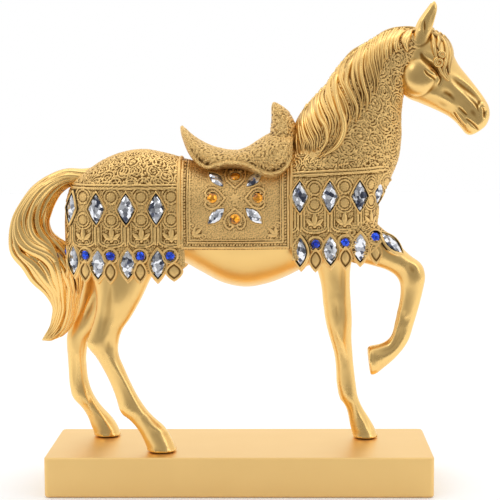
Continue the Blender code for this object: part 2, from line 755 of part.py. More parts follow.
def add_tabs(bm, tree, side):
    """Adds the leaf-shaped tabs that hang between the hem's gems on one side."""
    for first, lift in ((RUMP_TAB, 0.0), (CHEST_TAB, CHEST_TAB_LIFT)):
        for k in range(ROW_GEMS):
            x, z = first[0] + ROW_PITCH * k, first[1] + lift * k * k
            hit = tree.ray_cast(place(x, side * OUTSIDE, z + TAB_LENGTH / 4), Vector((0, -side, 0)))[0]
            face = hit.y / unit() + side * TAB_RISE
            leaf = outline("marquise", TAB_WIDTH, TAB_LENGTH)
            rings = [[(x + px, y, z + pz) for px, pz in leaf] for y in (face - side * TAB_THICKNESS, face)]
            skin(bm, rings)


def make_casting(collection):
    """The bare casting: every form of the horse in one skin, before its gem seats are cut."""
    bm = bmesh.new()
    add_torso(bm)
    for limb in (NECK, HEAD, EAR, TAIL, HIND_LEG_RIGHT, HIND_LEG_LEFT, FORELEG_LEFT, FORELEG_RIGHT):
        add_limb(bm, limb)
    add_limb(bm, EAR, flip=True)
    for saddle_part in (CANTLE, SEAT, POMMEL):
        add_limb(bm, saddle_part)
    for cloth in (RUMP_CLOTH, CHEST_CLOTH, SADDLE_CLOTH):
        add_cloth(bm, cloth)
    for leg in (HIND_LEG_RIGHT, HIND_LEG_LEFT, FORELEG_LEFT):
        add_collar(bm, leg)
    hair = body_tree()
    add_crest(bm)
    add_mane(bm, hair, -1, LOCKS_RIGHT, 1)
    add_mane(bm, hair, 1, LOCKS_LEFT, LOCK_LEFT_REACH)
    add_balls(bm)
    add_hoops(bm)
    add_tail_strands(bm)
    cloth = cloth_tree()
    for side in (-1, 1):
        add_cord(bm, cloth, RUMP_CORD, side)
        add_cord(bm, cloth, CHEST_CORD, side)
        add_tabs(bm, cloth, side)
    horse = new_object("horse", bm, collection)
    horse.data.materials.append(finish("gold", GOLD))
    remesh = horse.modifiers.new("casting", "REMESH")
    remesh.mode = "VOXEL"
    remesh.voxel_size = VOXEL
    soften = horse.modifiers.new("soften", "SMOOTH")
    soften.factor = 0.5
    soften.iterations = SOFTENING
    graph = bpy.context.evaluated_depsgraph_get()
    full = 2 * len(horse.evaluated_get(graph).data.polygons)
    fewer = horse.modifiers.new("fewer", "DECIMATE")
    fewer.ratio = CASTING_TRIANGLES / full
    return horse


def joined(name, pieces, collection):
    """One cutter object made of several pieces, which are removed."""
    bm = bmesh.new()
    for piece in pieces:
        bm.from_mesh(piece.data)
        bpy.data.objects.remove(piece)
    made = new_object(name, bm, collection)
    made.hide_render = True
    made.display_type = "WIRE"
    return made


def set_gems(horse, collection, cutters):
    """Makes every gem, and cuts its seat, with its rim, in the casting."""
    graph = bpy.context.evaluated_depsgraph_get()
    tree = BVHTree.FromObject(horse, graph)
    rims, seats = [], []
    girdle = GEM_LIFT + GEM_GIRDLE
    for name, kind, aim, look, spin in gem_sites():
        shape, width, length, colour, rimmed = GEMS[kind]
        matrix = seat_matrix(tree, aim, look, spin, width * PROBE_WIDTH_SHARE, length * PROBE_LENGTH_SHARE)
        corners = outline(shape, width, length)
        levels = ((GEM_LIFT, 0, 1), (girdle, 0, 1), (girdle + GEM_CROWN, 0, GEM_TABLE))
        gem = prism(name, corners, levels, matrix, collection)
        gem.data.materials.append(finish(f"gem_{kind}", colour))
        if rimmed:
            rim = GEM_CLEARANCE + BEZEL_WALL
            rim_levels = ((-BEZEL_ROOT, rim, 1), (BEZEL_RISE, rim, 1))
            rims.append(prism("rim", corners, rim_levels, matrix, cutters))
        seat_levels = ((-GEM_SINK, GEM_CLEARANCE, 1), (SEAT_CLEAR, GEM_CLEARANCE, 1))
        seats.append(prism("seat", corners, seat_levels, matrix, cutters))
    for name, pieces, operation in (("rims", rims, "UNION"), ("seats", seats, "DIFFERENCE")):
        cutter = joined(name, pieces, cutters)
        cut = horse.modifiers.new(name, "BOOLEAN")
        cut.operation = operation
        cut.object = cutter
        cut.solver = "EXACT"
        cut.use_self = True


def make_plinth(collection):
    """The plinth: a block whose upright corners are rounded and whose long edges are eased."""
    corners = []
    for k in range(4 * CORNER_STEPS):
        turn = math.pi / 2 * (k // CORNER_STEPS + (k % CORNER_STEPS) / (CORNER_STEPS - 1))
        quarter = math.pi / 2 * (k // CORNER_STEPS) + math.pi / 4
        x = math.copysign(PLINTH_LENGTH / 2 - PLINTH_CORNER, math.cos(quarter))
        y = math.copysign(PLINTH_DEPTH / 2 - PLINTH_CORNER, math.sin(quarter))
        corners.append((x, y, math.cos(turn), math.sin(turn)))
    bm = bmesh.new()
    rows = []
    eased = PLINTH_CORNER - PLINTH_EDGE
    for z, radius in (
        (0, eased),
        (PLINTH_EDGE, PLINTH_CORNER),
        (PLINTH_HEIGHT - PLINTH_EDGE, PLINTH_CORNER),
        (PLINTH_HEIGHT, eased),
    ):
        rows.append([bm.verts.new((x + c * radius, y + s * radius, z)) for x, y, c, s in corners])
    count = len(corners)
    for lower, upper in zip(rows, rows[1:]):
        for i in range(count):
            j = (i + 1) % count
            bm.faces.new((lower[i], lower[j], upper[j], upper[i]))
    bm.faces.new(rows[0][::-1])
    bm.faces.new(rows[-1])
    plinth = new_object("plinth", bm, collection)
    plinth.data.materials.append(finish("satin_gold", SATIN_GOLD))


def main():
    """Builds the statue in its own collection, and the cutters in another."""
    for old in list(bpy.data.objects):
        bpy.data.objects.remove(old)
    collection = bpy.data.collections.new("horse_statue")
    cutters = bpy.data.collections.new("cutters")
    for made in (collection, cutters):
        bpy.context.scene.collection.children.link(made)
    make_plinth(collection)
    horse = make_casting(collection)
    set_gems(horse, collection, cutters)


main()
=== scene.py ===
"""Looks of a gilded horse figurine in filigree barding, set with flat-backed gems, on its plinth.

The figure is drawn in the same units as its solids: one unit is a millimetre of a 279 mm tall horse
whose soles stand on the line z = 25. It walks towards +X, and its right side faces -Y.
"""

import logging
import math
from collections.abc import Callable, Sequence
from dataclasses import dataclass, field, replace
from enum import Enum

import bmesh
import bpy
import numpy as np
from mathutils import Matrix, Vector
from mathutils.bvhtree import BVHTree
from numpy.linalg import norm

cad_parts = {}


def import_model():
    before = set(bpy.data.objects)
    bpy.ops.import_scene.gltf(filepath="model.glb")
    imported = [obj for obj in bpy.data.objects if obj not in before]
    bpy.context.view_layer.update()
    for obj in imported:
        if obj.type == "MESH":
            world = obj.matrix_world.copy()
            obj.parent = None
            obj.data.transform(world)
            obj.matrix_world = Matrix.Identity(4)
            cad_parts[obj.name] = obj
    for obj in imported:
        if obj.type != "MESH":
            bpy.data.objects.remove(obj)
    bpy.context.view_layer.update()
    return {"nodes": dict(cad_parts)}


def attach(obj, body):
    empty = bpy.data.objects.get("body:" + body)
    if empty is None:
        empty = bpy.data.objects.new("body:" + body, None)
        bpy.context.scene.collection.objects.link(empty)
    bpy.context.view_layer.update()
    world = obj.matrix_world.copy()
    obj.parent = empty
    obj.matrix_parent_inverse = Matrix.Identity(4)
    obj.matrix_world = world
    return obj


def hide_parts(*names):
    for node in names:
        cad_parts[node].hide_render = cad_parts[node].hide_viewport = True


LOG = logging.getLogger("horse_statue")

# Short names for types
Array = np.ndarray
Piece = bpy.types.Object
Socket = bpy.types.NodeSocket
Pair = tuple[float, float]
Triple = tuple[float, float, float]
Place = Array | Sequence[float]
Points = Array | Sequence[Sequence[float]]

# A drawing unit in metres, and how far the figure stands above its drawn place
MM = 0.001
HOOF_GAP = 0.3

# How square a limb's cross-section is, 2 being an ellipse, and how finely it is worked out
LIMB_SQUARENESS = 2.2
FINE_RING = 480

# Torso: x, back line, belly line, half width, squareness
TORSO = (
    (-108.5, 178, 152, 7, 2.4),
    (-106.5, 186, 147, 15, 2.4),
    (-102, 193, 145, 22, 2.5),
    (-95, 198.5, 144, 26.5, 2.5),
    (-85, 205, 143, 29, 2.5),
    (-72, 210, 143, 30, 2.4),
    (-60, 211.5, 145, 30, 2.4),
    (-48, 209.5, 145, 29.5, 2.4),
    (-36, 206.5, 142.6, 29.5, 2.3),
    (-24, 204, 136.2, 30.5, 2.2),
    (-10, 202.5, 128.9, 31, 2.2),
    (4, 203, 126.1, 31, 2.2),
    (18, 205.5, 128.3, 30, 2.2),
    (30, 211, 132.8, 29, 2.3),
    (42, 216, 138.7, 28, 2.4),
    (55, 216, 143, 27, 2.5),
    (68, 212, 146, 25.5, 2.5),
    (78, 206, 150, 22.5, 2.6),
    (84, 199, 156, 17, 2.6),
    (87.5, 190, 164, 9, 2.4),
)

# Limbs: front or upper edge x and z, rear or lower edge x and z, lateral centre, half width
NECK = (
    (89.5, 180, 26, 200, 0, 26),
    (95.5, 194, 31, 216, 0, 24),
    (99.8, 207, 39, 231, 0, 20.5),
    (101.5, 220, 49, 243.5, 0, 17.5),
    (101.5, 233, 59, 256.5, 0, 15),
    (102.5, 244, 69, 268, 0, 13),
    (105, 253, 80, 277, 0, 11.5),
    (111, 262, 93, 283.5, 0, 10.5),
    (119, 270, 107, 285.5, 0, 9),
)
HEAD = (
    (109, 286, 101.5, 264, 0, 8.5),
    (118, 285.8, 101.8, 250.2, 0, 10.8),
    (126.6, 281.9, 105.6, 245.1, 0, 12),
    (133, 274.2, 114.2, 241.3, 0, 12),
    (137.7, 265.2, 121.2, 238.3, 0, 10),
    (144.3, 257, 127.2, 235.5, 0, 8.4),
    (150.1, 249.7, 132, 232.9, 0, 7.4),
    (154.2, 244, 136.4, 229.3, 0, 7.2),
    (157, 238.6, 140, 225.3, 0, 7.6),
    (157.4, 232.8, 142.6, 222.2, 0, 6.9),
    (155.2, 227.2, 145.7, 221.2, 0, 4.8),
    (151.8, 224.2, 148.5, 222.2, 0, 1.5),
)
EAR = (
    (119.5, 274, 102.5, 270, -5, 4.6),
    (119, 281.5, 107, 278, -6, 4.2),
    (120.5, 287, 110.3, 286.5, -7, 3.6),
    (122, 293, 113.2, 293, -7.8, 3.2),
    (123.2, 298, 116.8, 298.3, -8, 2.4),
    (123.2, 301.5, 119.6, 302, -7.8, 1.5),
    (122.2, 304, 121, 304, -7.5, 0.5),
)
TAIL = (
    (-88, 202, -96, 187, 0, 7),
    (-97, 201, -101, 190, 0, 8),
    (-108.5, 201.2, -106.5, 190.2, 0, 9),
    (-119.1, 197.9, -112.2, 186.2, 0, 10),
    (-129.3, 191.3, -116.4, 180, 0, 11),
    (-137.5, 181.7, -118.8, 173.5, 0, 12),
    (-143.4, 171.2, -120, 167, 0, 12.5),
    (-146, 158.4, -117.3, 159.8, 0, 13),
    (-145.3, 148, -110.2, 154.6, 0, 13.5),
    (-139, 139.1, -103, 147, 0, 14),
    (-134, 130, -99, 137, 1, 13.5),
    (-125.5, 121.4, -99.5, 127, 2, 12),
    (-120.7, 113, -102, 118, 4, 10.5),
    (-121.7, 106, -104, 108, 6, 9),
    (-123.9, 99.4, -107.6, 99.6, 7, 7),
    (-126.6, 94.8, -112.8, 93.8, 6, 4.6),
    (-128.2, 91, -120.6, 90.4, 5, 1.8),
)
HIND_LEG_RIGHT = (
    (-40, 162, -100, 162, -17, 12.5),
    (-47, 146, -97, 146, -19, 11.5),
    (-54.5, 133.5, -90, 131.5, -20.5, 10),
    (-60.5, 121, -88.5, 119, -21.5, 8.6),
    (-67.2, 109.3, -90.3, 108, -21.5, 7.2),
    (-73, 100.6, -93.3, 99, -21.5, 6.6),
    (-75, 93, -95.2, 92.8, -21.5, 6.5),
    (-75, 86.5, -89.8, 86, -21.5, 6),
    (-71.5, 77.3, -84, 76, -21.5, 5.4),
    (-67.3, 67.5, -79.7, 66.5, -21.5, 5.2),
    (-63, 59, -76.6, 57.5, -21.5, 5.6),
    (-58.5, 52, -74.4, 50, -21.5, 6.4),
    (-53, 45.8, -68, 44, -21.5, 6),
    (-46.8, 40.2, -63.5, 38.5, -21.5, 6.6),
    (-43, 34, -60.5, 33, -21.5, 7.6),
    (-40, 27.5, -58, 27, -21.5, 8.6),
    (-39.2, 25, -57.5, 25, -21.5, 8.8),
)
HIND_LEG_LEFT = (
    (-50, 160, -101, 160, 17, 12.5),
    (-58, 141, -101, 141, 19, 11.5),
    (-69, 123, -103, 123, 20.5, 9.8),
    (-80, 109, -107, 108, 21, 8.4),
    (-90, 98, -111.8, 98, 21, 7.2),
    (-98.5, 89.5, -113.6, 90.5, 21, 6.6),
    (-101, 80, -113.2, 81, 21, 6.1),
    (-101, 70, -112.8, 70, 21, 5.6),
    (-99.6, 60, -112.3, 59, 21, 5.6),
    (-96.8, 52, -110.4, 50.5, 21, 6.3),
    (-91.5, 44, -104.5, 43.5, 21, 5.9),
    (-86, 38, -100.6, 37, 21, 6.3),
    (-82, 32.5, -98.5, 31, 21, 7.2),
    (-79.8, 27, -96.6, 26.7, 21, 8.2),
    (-79.3, 25, -96.4, 25, 21, 8.4),
)
FORELEG_LEFT = (
    (86, 170, 42, 168, 13, 11.5),
    (77, 152, 44.9, 152, 14.5, 10.5),
    (71.8, 138, 49, 138, 16, 8.6),
    (71.2, 125, 52.4, 125, 16, 7.5),
    (71.9, 112, 53.8, 112, 16, 6.9),
    (72.5, 101, 55.6, 100, 16, 6.7),
    (72.2, 91, 58.4, 90, 16, 6.2),
    (72.8, 81, 61.1, 80.5, 16, 5.4),
    (73.7, 71, 62.2, 70.5, 16, 5.2),
    (74.9, 61, 62.8, 60, 16, 5.5),
    (76.4, 51.5, 65, 51, 16, 6.2),
    (79.8, 43.5, 69.2, 43, 16, 5.7),
    (83.9, 37, 70.5, 36.5, 16, 6.2),
    (87.5, 30.5, 72, 30, 16, 7.4),
    (89, 26.5, 73.2, 26.5, 16, 8.2),
    (89.2, 25, 73.2, 25, 16, 8.4),
)
FORELEG_RIGHT = (
    (77.6, 175.6, 52, 152, -14.5, 11.5),
    (87.2, 164.8, 68, 145, -16, 10.5),
    (98.4, 155.5, 83, 141.3, -17.5, 9),
    (107.2, 147.2, 93.5, 137.8, -18.5, 7.7),
    (113.9, 142, 98.5, 134, -18.5, 7),
    (116.2, 134.5, 100.6, 129.1, -18.5, 6.7),
    (115, 127, 100.7, 124, -18.5, 6.1),
    (112.3, 115.5, 99.3, 114, -18.5, 5.5),
    (109, 104, 97.4, 105.1, -18.5, 5.2),
    (105.6, 93.6, 95.5, 97, -18.5, 5.5),
    (101, 86.8, 92.3, 93.4, -18.5, 5.6),
    (96, 81.5, 88.8, 92, -18.5, 6),
    (90, 76.5, 85.5, 91.3, -18.5, 6.9),
    (84.5, 72.6, 81.8, 90.6, -18.5, 8),
    (82.2, 72.2, 80.2, 90.2, -18.5, 8.2),
)
CANTLE = (
    (-8, 213, -12, 198, 0, 22.5),
    (-16, 215, -21, 200.5, 0, 22.5),
    (-22, 217.7, -27.5, 205.5, 0, 19.5),
    (-27, 220.8, -31.5, 211, 0, 15.5),
    (-31, 224, -34.3, 217.5, 0, 11),
    (-33.8, 226.8, -36, 223, 0, 6.5),
    (-35.3, 228.5, -36.6, 227, 0, 2),
)
SEAT = (
    (-16, 214.5, -16, 199, 0, 22),
    (-8, 213, -8, 200, 0, 22.5),
    (0, 212.6, 0, 200, 0, 23),
    (6, 214.6, 6, 198, 0, 24.5),
    (12, 218.4, 12, 194, 0, 27),
    (18, 222, 18, 191, 0, 29.5),
    (24, 224, 24, 191, 0, 30.5),
    (30, 224, 30, 195, 0, 29.5),
    (34, 222, 34, 202, 0, 26),
)
POMMEL = (
    (35, 208, 12, 208, 0, 24),
    (35.5, 216, 18, 216, 0, 21),
    (36, 223, 20, 222.5, 0, 18),
    (35.4, 229.8, 20.7, 229.5, 0, 14),
    (31.9, 236.2, 21.1, 235.5, 0, 9),
    (27.3, 240, 21.2, 239.6, 0, 5),
    (23.2, 242.4, 21.6, 242.3, 0, 1.5),
)
CREST = (
    (36.4, 228.2), (43.3, 239.1), (48.1, 244.5), (55.6, 251.9), (61.2, 259.3), (66.2, 266.8),
    (72.5, 273.6), (79.3, 277.3), (85.5, 281), (91.8, 285.2), (97, 287.1), (103.4, 287.9),
    (108.1, 287.9), (112.5, 287),
)


class Slot(str, Enum):
    """The record's material slots."""

    GOLD = "gold"
    CRYSTAL = "crystal"
    BLUE = "blue_gem"
    AMBER = "amber_gem"


# Numbers and meshes


def curve_through(rows: Points, spacing: float) -> Array:
    """Rows on a smooth curve through the given rows, evenly spaced.

    Args:
        rows: points, rows of a limb with 6 columns, or rows of the trunk with 5.
        spacing: the wanted distance between rows.

    Returns:
        The resampled rows.
    """
    rows = np.array(rows, float)
    gaps = np.maximum(norm(np.diff(rows, axis=0), axis=1), 1e-6)
    slopes = np.diff(rows, axis=0) / gaps[:, None]
    inner = slopes[:-1] * gaps[1:, None] + slopes[1:] * gaps[:-1, None]
    inner = inner / (gaps[:-1] + gaps[1:])[:, None]
    tangents = np.vstack([slopes[:1], inner, slopes[-1:]])
    t = np.linspace(0, 1, 25)[:-1, None]
    dense = [
        (2 * t**3 - 3 * t**2 + 1) * rows[i]
        + (t**3 - 2 * t**2 + t) * gap * tangents[i]
        + (3 * t**2 - 2 * t**3) * rows[i + 1]
        + (t**3 - t**2) * gap * tangents[i + 1]
        for i, gap in enumerate(gaps)
    ]
    dense = np.vstack([*dense, rows[-1:]])
    columns = rows.shape[1]
    middles = dense[:, : min(2, columns)]
    if columns == 6:
        middles = (dense[:, :2] + dense[:, 2:4]) / 2
    elif columns == 5:
        middles = dense[:, [0, 3]]
    lengths = np.concatenate([[0], np.cumsum(norm(np.diff(middles, axis=0), axis=1))])
    count = max(3, round(lengths[-1] / spacing) + 1)
    wanted = np.linspace(0, lengths[-1], count)
    return np.stack([np.interp(wanted, lengths, dense[:, k]) for k in range(columns)], 1)


def section(row: Place, squareness: float, count: int) -> Array:
    """A limb's cross-section, from its front edge round to its rear edge and back.

    Args:
        row: front x and z, rear x and z, lateral centre and half width.
        squareness: 2 is an ellipse, more is squarer.
        count: how many points.

    Returns:
        The section's points, shape (count, 3).
    """
    xa, za, xb, zb, y, width = row[:6]
    turn = 2 * np.pi * np.arange(count) / count
    power = 2 / squareness
    c = np.sign(np.cos(turn)) * np.abs(np.cos(turn)) ** power
    s = np.sign(np.sin(turn)) * np.abs(np.sin(turn)) ** power
    along = (1 + c) / 2
    return np.stack([xb + (xa - xb) * along, y + width * s, zb + (za - zb) * along], 1)


def evened(points: Array, count: int) -> Array:
    """An open line of points, resampled to evenly spaced ones.

    Args:
        points: the line's points, shape (any, 3).
        count: how many points are wanted.

    Returns:
        The points, shape (count, 3).
    """
    lengths = np.concatenate([[0], np.cumsum(norm(np.diff(points, axis=0), axis=1))])
    wanted = np.linspace(0, lengths[-1], count)
    return np.stack([np.interp(wanted, lengths, points[:, k]) for k in range(3)], 1)


def real(points: Place | Points) -> Array:
    """Real places, in metres, of points of the drawing."""
    return (np.asarray(points, float) + (0, 0, HOOF_GAP)) * MM


def drawn(points: Place | Points) -> Array:
    """Places in the drawing of points in metres."""
    return np.asarray(points, float) / MM - (0, 0, HOOF_GAP)


def circling(middle: Place, reach: float | Array, turn: Array) -> Array:
    """Points round a middle, at given distances and angles, shape (count, 2)."""
    return np.stack([middle[0] + reach * np.cos(turn), middle[1] + reach * np.sin(turn)], 1)


def eased(values: Array) -> Array:
    """Values along a line, each the mean of the nine round it."""
    return np.convolve(np.pad(values, 4, mode="edge"), np.ones(9) / 9, "valid")


def torso_rows(spacing: float) -> Array:
    """The trunk's cross-sections: x, back, belly, half width and squareness."""
    return curve_through(TORSO, spacing)


def sections(rows: Points, spacing: float, count: int) -> Array:
    """A limb's cross-sections as a grid of points, shape (sections, count, 3)."""
    return np.array([section(row, LIMB_SQUARENESS, count) for row in curve_through(rows, spacing)])


def even_rings(rows: Points, count: int) -> Array:
    """A limb's cross-sections with evenly spaced points, shape (rows, count, 3)."""
    rings = [section(row, LIMB_SQUARENESS, FINE_RING) for row in rows]
    return np.array([evened(np.vstack([ring, ring[:1]]), count + 1)[:-1] for ring in rings])


def trunk_sections(spacing: float, count: int) -> Array:
    """The bare trunk's cross-sections as a grid of points."""
    rows = torso_rows(spacing)
    return np.array([section((x, top, x, low, 0, half), q, count) for x, top, low, half, q in rows])


def grid_faces(rows: int, columns: int, closed: bool, base: int = 0) -> Array:
    """Quads between the points of a grid, whose columns may close on themselves.

    Args:
        rows: how many rows the grid has.
        columns: how many columns.
        closed: whether the last column joins the first.
        base: the number of the grid's first point.

    Returns:
        The quads, four point numbers each.
    """
    i, j = np.meshgrid(np.arange(rows - 1), np.arange(columns if closed else columns - 1), indexing="ij")
    here, below = i * columns, (i + 1) * columns
    beside = (j + 1) % columns
    quads = np.stack([here + j, here + beside, below + beside, below + j], -1)
    return quads.reshape(-1, 4) + base


def outward(grid: Array) -> Array:
    """Unit ways out of a grid's surface, or all of them into it, shape (rows, columns, 3)."""
    out = np.cross(np.gradient(grid, axis=0), np.gradient(grid, axis=1))
    return out / (norm(out, axis=2)[..., None] + 1e-9)


def tree_of(grids: Sequence[Array]) -> BVHTree:
    """A surface made of grids of rings, in drawing units, for rays to meet.

    Args:
        grids: the grids, each of shape (rows, columns, 3).

    Returns:
        The surface.
    """
    points: list[Vector] = []
    faces: list[list[int]] = []
    for grid in grids:
        faces += grid_faces(*grid.shape[:2], True, len(points)).tolist()
        points += [Vector(point) for point in grid.reshape(-1, 3)]
    return BVHTree.FromPolygons(points, faces)


def linked(name: str, data: bpy.types.ID) -> Piece:
    """Puts a mesh, lamp or camera in the scene.

    Args:
        name: the object's name.
        data: what the object shows.

    Returns:
        The object.
    """
    made = bpy.data.objects.new(name, data)
    bpy.context.scene.collection.objects.link(made)
    return made


class Shell:
    """Points and faces gathered from several grids, which become one mesh."""

    def __init__(self) -> None:
        """Starts with nothing."""
        self.points: list[Array] = []
        self.faces: list[list[int]] = []
        self.tones: list[Array] = []
        self.count = 0

    def grid(
        self, grid: Array, closed: bool = True, caps: bool = True, tone: Array | None = None
    ) -> None:
        """Adds a grid of points in drawing units.

        Args:
            grid: the points, shape (rows, columns, 3).
            closed: whether the last column joins the first.
            caps: whether a closed grid's ends are covered.
            tone: each point's tone, shape (rows, columns), or nothing for an even one.
        """
        rows, columns = grid.shape[:2]
        self.points.append(grid.reshape(-1, 3))
        self.tones.append(np.full(rows * columns, 0.5) if tone is None else np.asarray(tone).reshape(-1))
        self.faces += grid_faces(rows, columns, closed, self.count).tolist()
        if closed and caps:
            self.faces.append(list(range(self.count, self.count + columns))[::-1])
            last = self.count + (rows - 1) * columns
            self.faces.append(list(range(last, last + columns)))
        self.count += rows * columns

    def solid(self, points: Array, faces: list[list[int]]) -> None:
        """Adds any other set of points and faces.

        Args:
            points: the points, shape (count, 3).
            faces: each face's point numbers.
        """
        self.points.append(np.asarray(points, float))
        self.tones.append(np.full(len(points), 0.5))
        self.faces += [[self.count + i for i in face] for face in faces]
        self.count += len(points)

    def mesh_object(self, name: str, smooth: bool = True) -> Piece:
        """Makes the object, with its faces pointing out and its tones kept as an attribute.

        Args:
            name: the object's name.
            smooth: whether its faces are shaded smooth.

        Returns:
            The object.
        """
        mesh = bpy.data.meshes.new(name)
        mesh.from_pydata(real(np.vstack(self.points)).tolist(), [], self.faces)
        tone = mesh.attributes.new("tone", "FLOAT", "POINT")
        tone.data.foreach_set("value", np.concatenate(self.tones).astype(np.float32))
        bm = bmesh.new()
        bm.from_mesh(mesh)
        bmesh.ops.recalc_face_normals(bm, faces=bm.faces)
        bm.to_mesh(mesh)
        bm.free()
        mesh.polygons.foreach_set("use_smooth", [smooth] * len(mesh.polygons))
        return linked(name, mesh)


def point_values(mesh: bpy.types.Mesh, what: str) -> Array:
    """What a mesh's points hold.

    Args:
        mesh: the mesh.
        what: co for their places, normal for their ways out.

    Returns:
        The values, shape (count, 3).
    """
    flat = np.zeros(len(mesh.vertices) * 3, np.float32)
    mesh.vertices.foreach_get(what, flat)
    return flat.reshape(-1, 3).astype(float)


def coordinates(mesh: bpy.types.Mesh) -> Array:
    """A mesh's points, shape (count, 3)."""
    return point_values(mesh, "co")


def normals(mesh: bpy.types.Mesh) -> Array:
    """A mesh's point normals, shape (count, 3)."""
    return point_values(mesh, "normal")


def move_points(made: Piece, points: Array) -> None:
    """Moves an object's points to places in metres."""
    made.data.vertices.foreach_set("co", points.astype(np.float32).reshape(-1))
    made.data.update()


def neighbour_mean(mesh: bpy.types.Mesh, values: Array, rounds: int = 1) -> Array:
    """Each point's mean of its neighbours' values, over and over.

    Args:
        mesh: the mesh.
        values: each point's values.
        rounds: how often the mean is taken.

    Returns:
        The means, shape (count, any).
    """
    edges = np.zeros(len(mesh.edges) * 2, np.int32)
    mesh.edges.foreach_get("vertices", edges)
    a, b = edges[::2], edges[1::2]
    count = np.maximum(np.bincount(np.concatenate([a, b]), minlength=len(values)), 1)
    values = values.reshape(len(values), -1)
    for _ in range(rounds):
        sums = [np.bincount(a, row[b], len(row)) + np.bincount(b, row[a], len(row)) for row in values.T]
        values = np.stack(sums, 1) / count[:, None]
    return values


def shade_hollows(made: Piece, depth: float, rounds: int) -> None:
    """Darkens the tone of a mesh's hollows as painted shade and lightens its ridges as painted highlights.

    Args:
        made: the object, whose tone attribute changes.
        depth: how deep, in millimetres, a hollow is that turns fully dark.
        rounds: how widely a point looks round itself.
    """
    mesh = made.data
    points = coordinates(mesh)
    smooth = neighbour_mean(mesh, points, rounds)
    rise = ((points - smooth) * normals(mesh)).sum(1) / (depth * MM)
    rise = neighbour_mean(mesh, rise, 1)[:, 0]
    tone = np.zeros(len(points), np.float32)
    attribute = mesh.attributes["tone"]
    attribute.data.foreach_get("value", tone)
    attribute.data.foreach_set("value", np.clip(tone + 0.5 * rise, 0, 1).astype(np.float32))


def fused(shell: Shell, name: str, voxel: float, rounds: int) -> Piece:
    """Joins a shell's parts in one smooth skin.

    Args:
        shell: the parts, which may overlap.
        name: the object's name.
        voxel: the skin's fineness in millimetres.
        rounds: how often the skin is smoothed.

    Returns:
        The object.
    """
    source = shell.mesh_object(name + "_parts")
    remesh = source.modifiers.new("skin", "REMESH")
    remesh.mode = "VOXEL"
    remesh.voxel_size = voxel * MM
    remesh.use_smooth_shade = True
    smooth = source.modifiers.new("smooth", "SMOOTH")
    smooth.factor = 0.5
    smooth.iterations = rounds
    graph = bpy.context.evaluated_depsgraph_get()
    mesh = bpy.data.meshes.new_from_object(source.evaluated_get(graph))
    mesh.name = name
    mesh.materials.clear()
    bpy.data.objects.remove(source)
    if "tone" not in mesh.attributes:
        mesh.attributes.new("tone", "FLOAT", "POINT")
    mesh.attributes["tone"].data.foreach_set("value", np.full(len(mesh.vertices), 0.5, np.float32))
    mesh.polygons.foreach_set("use_smooth", [True] * len(mesh.polygons))
    return linked(name, mesh)


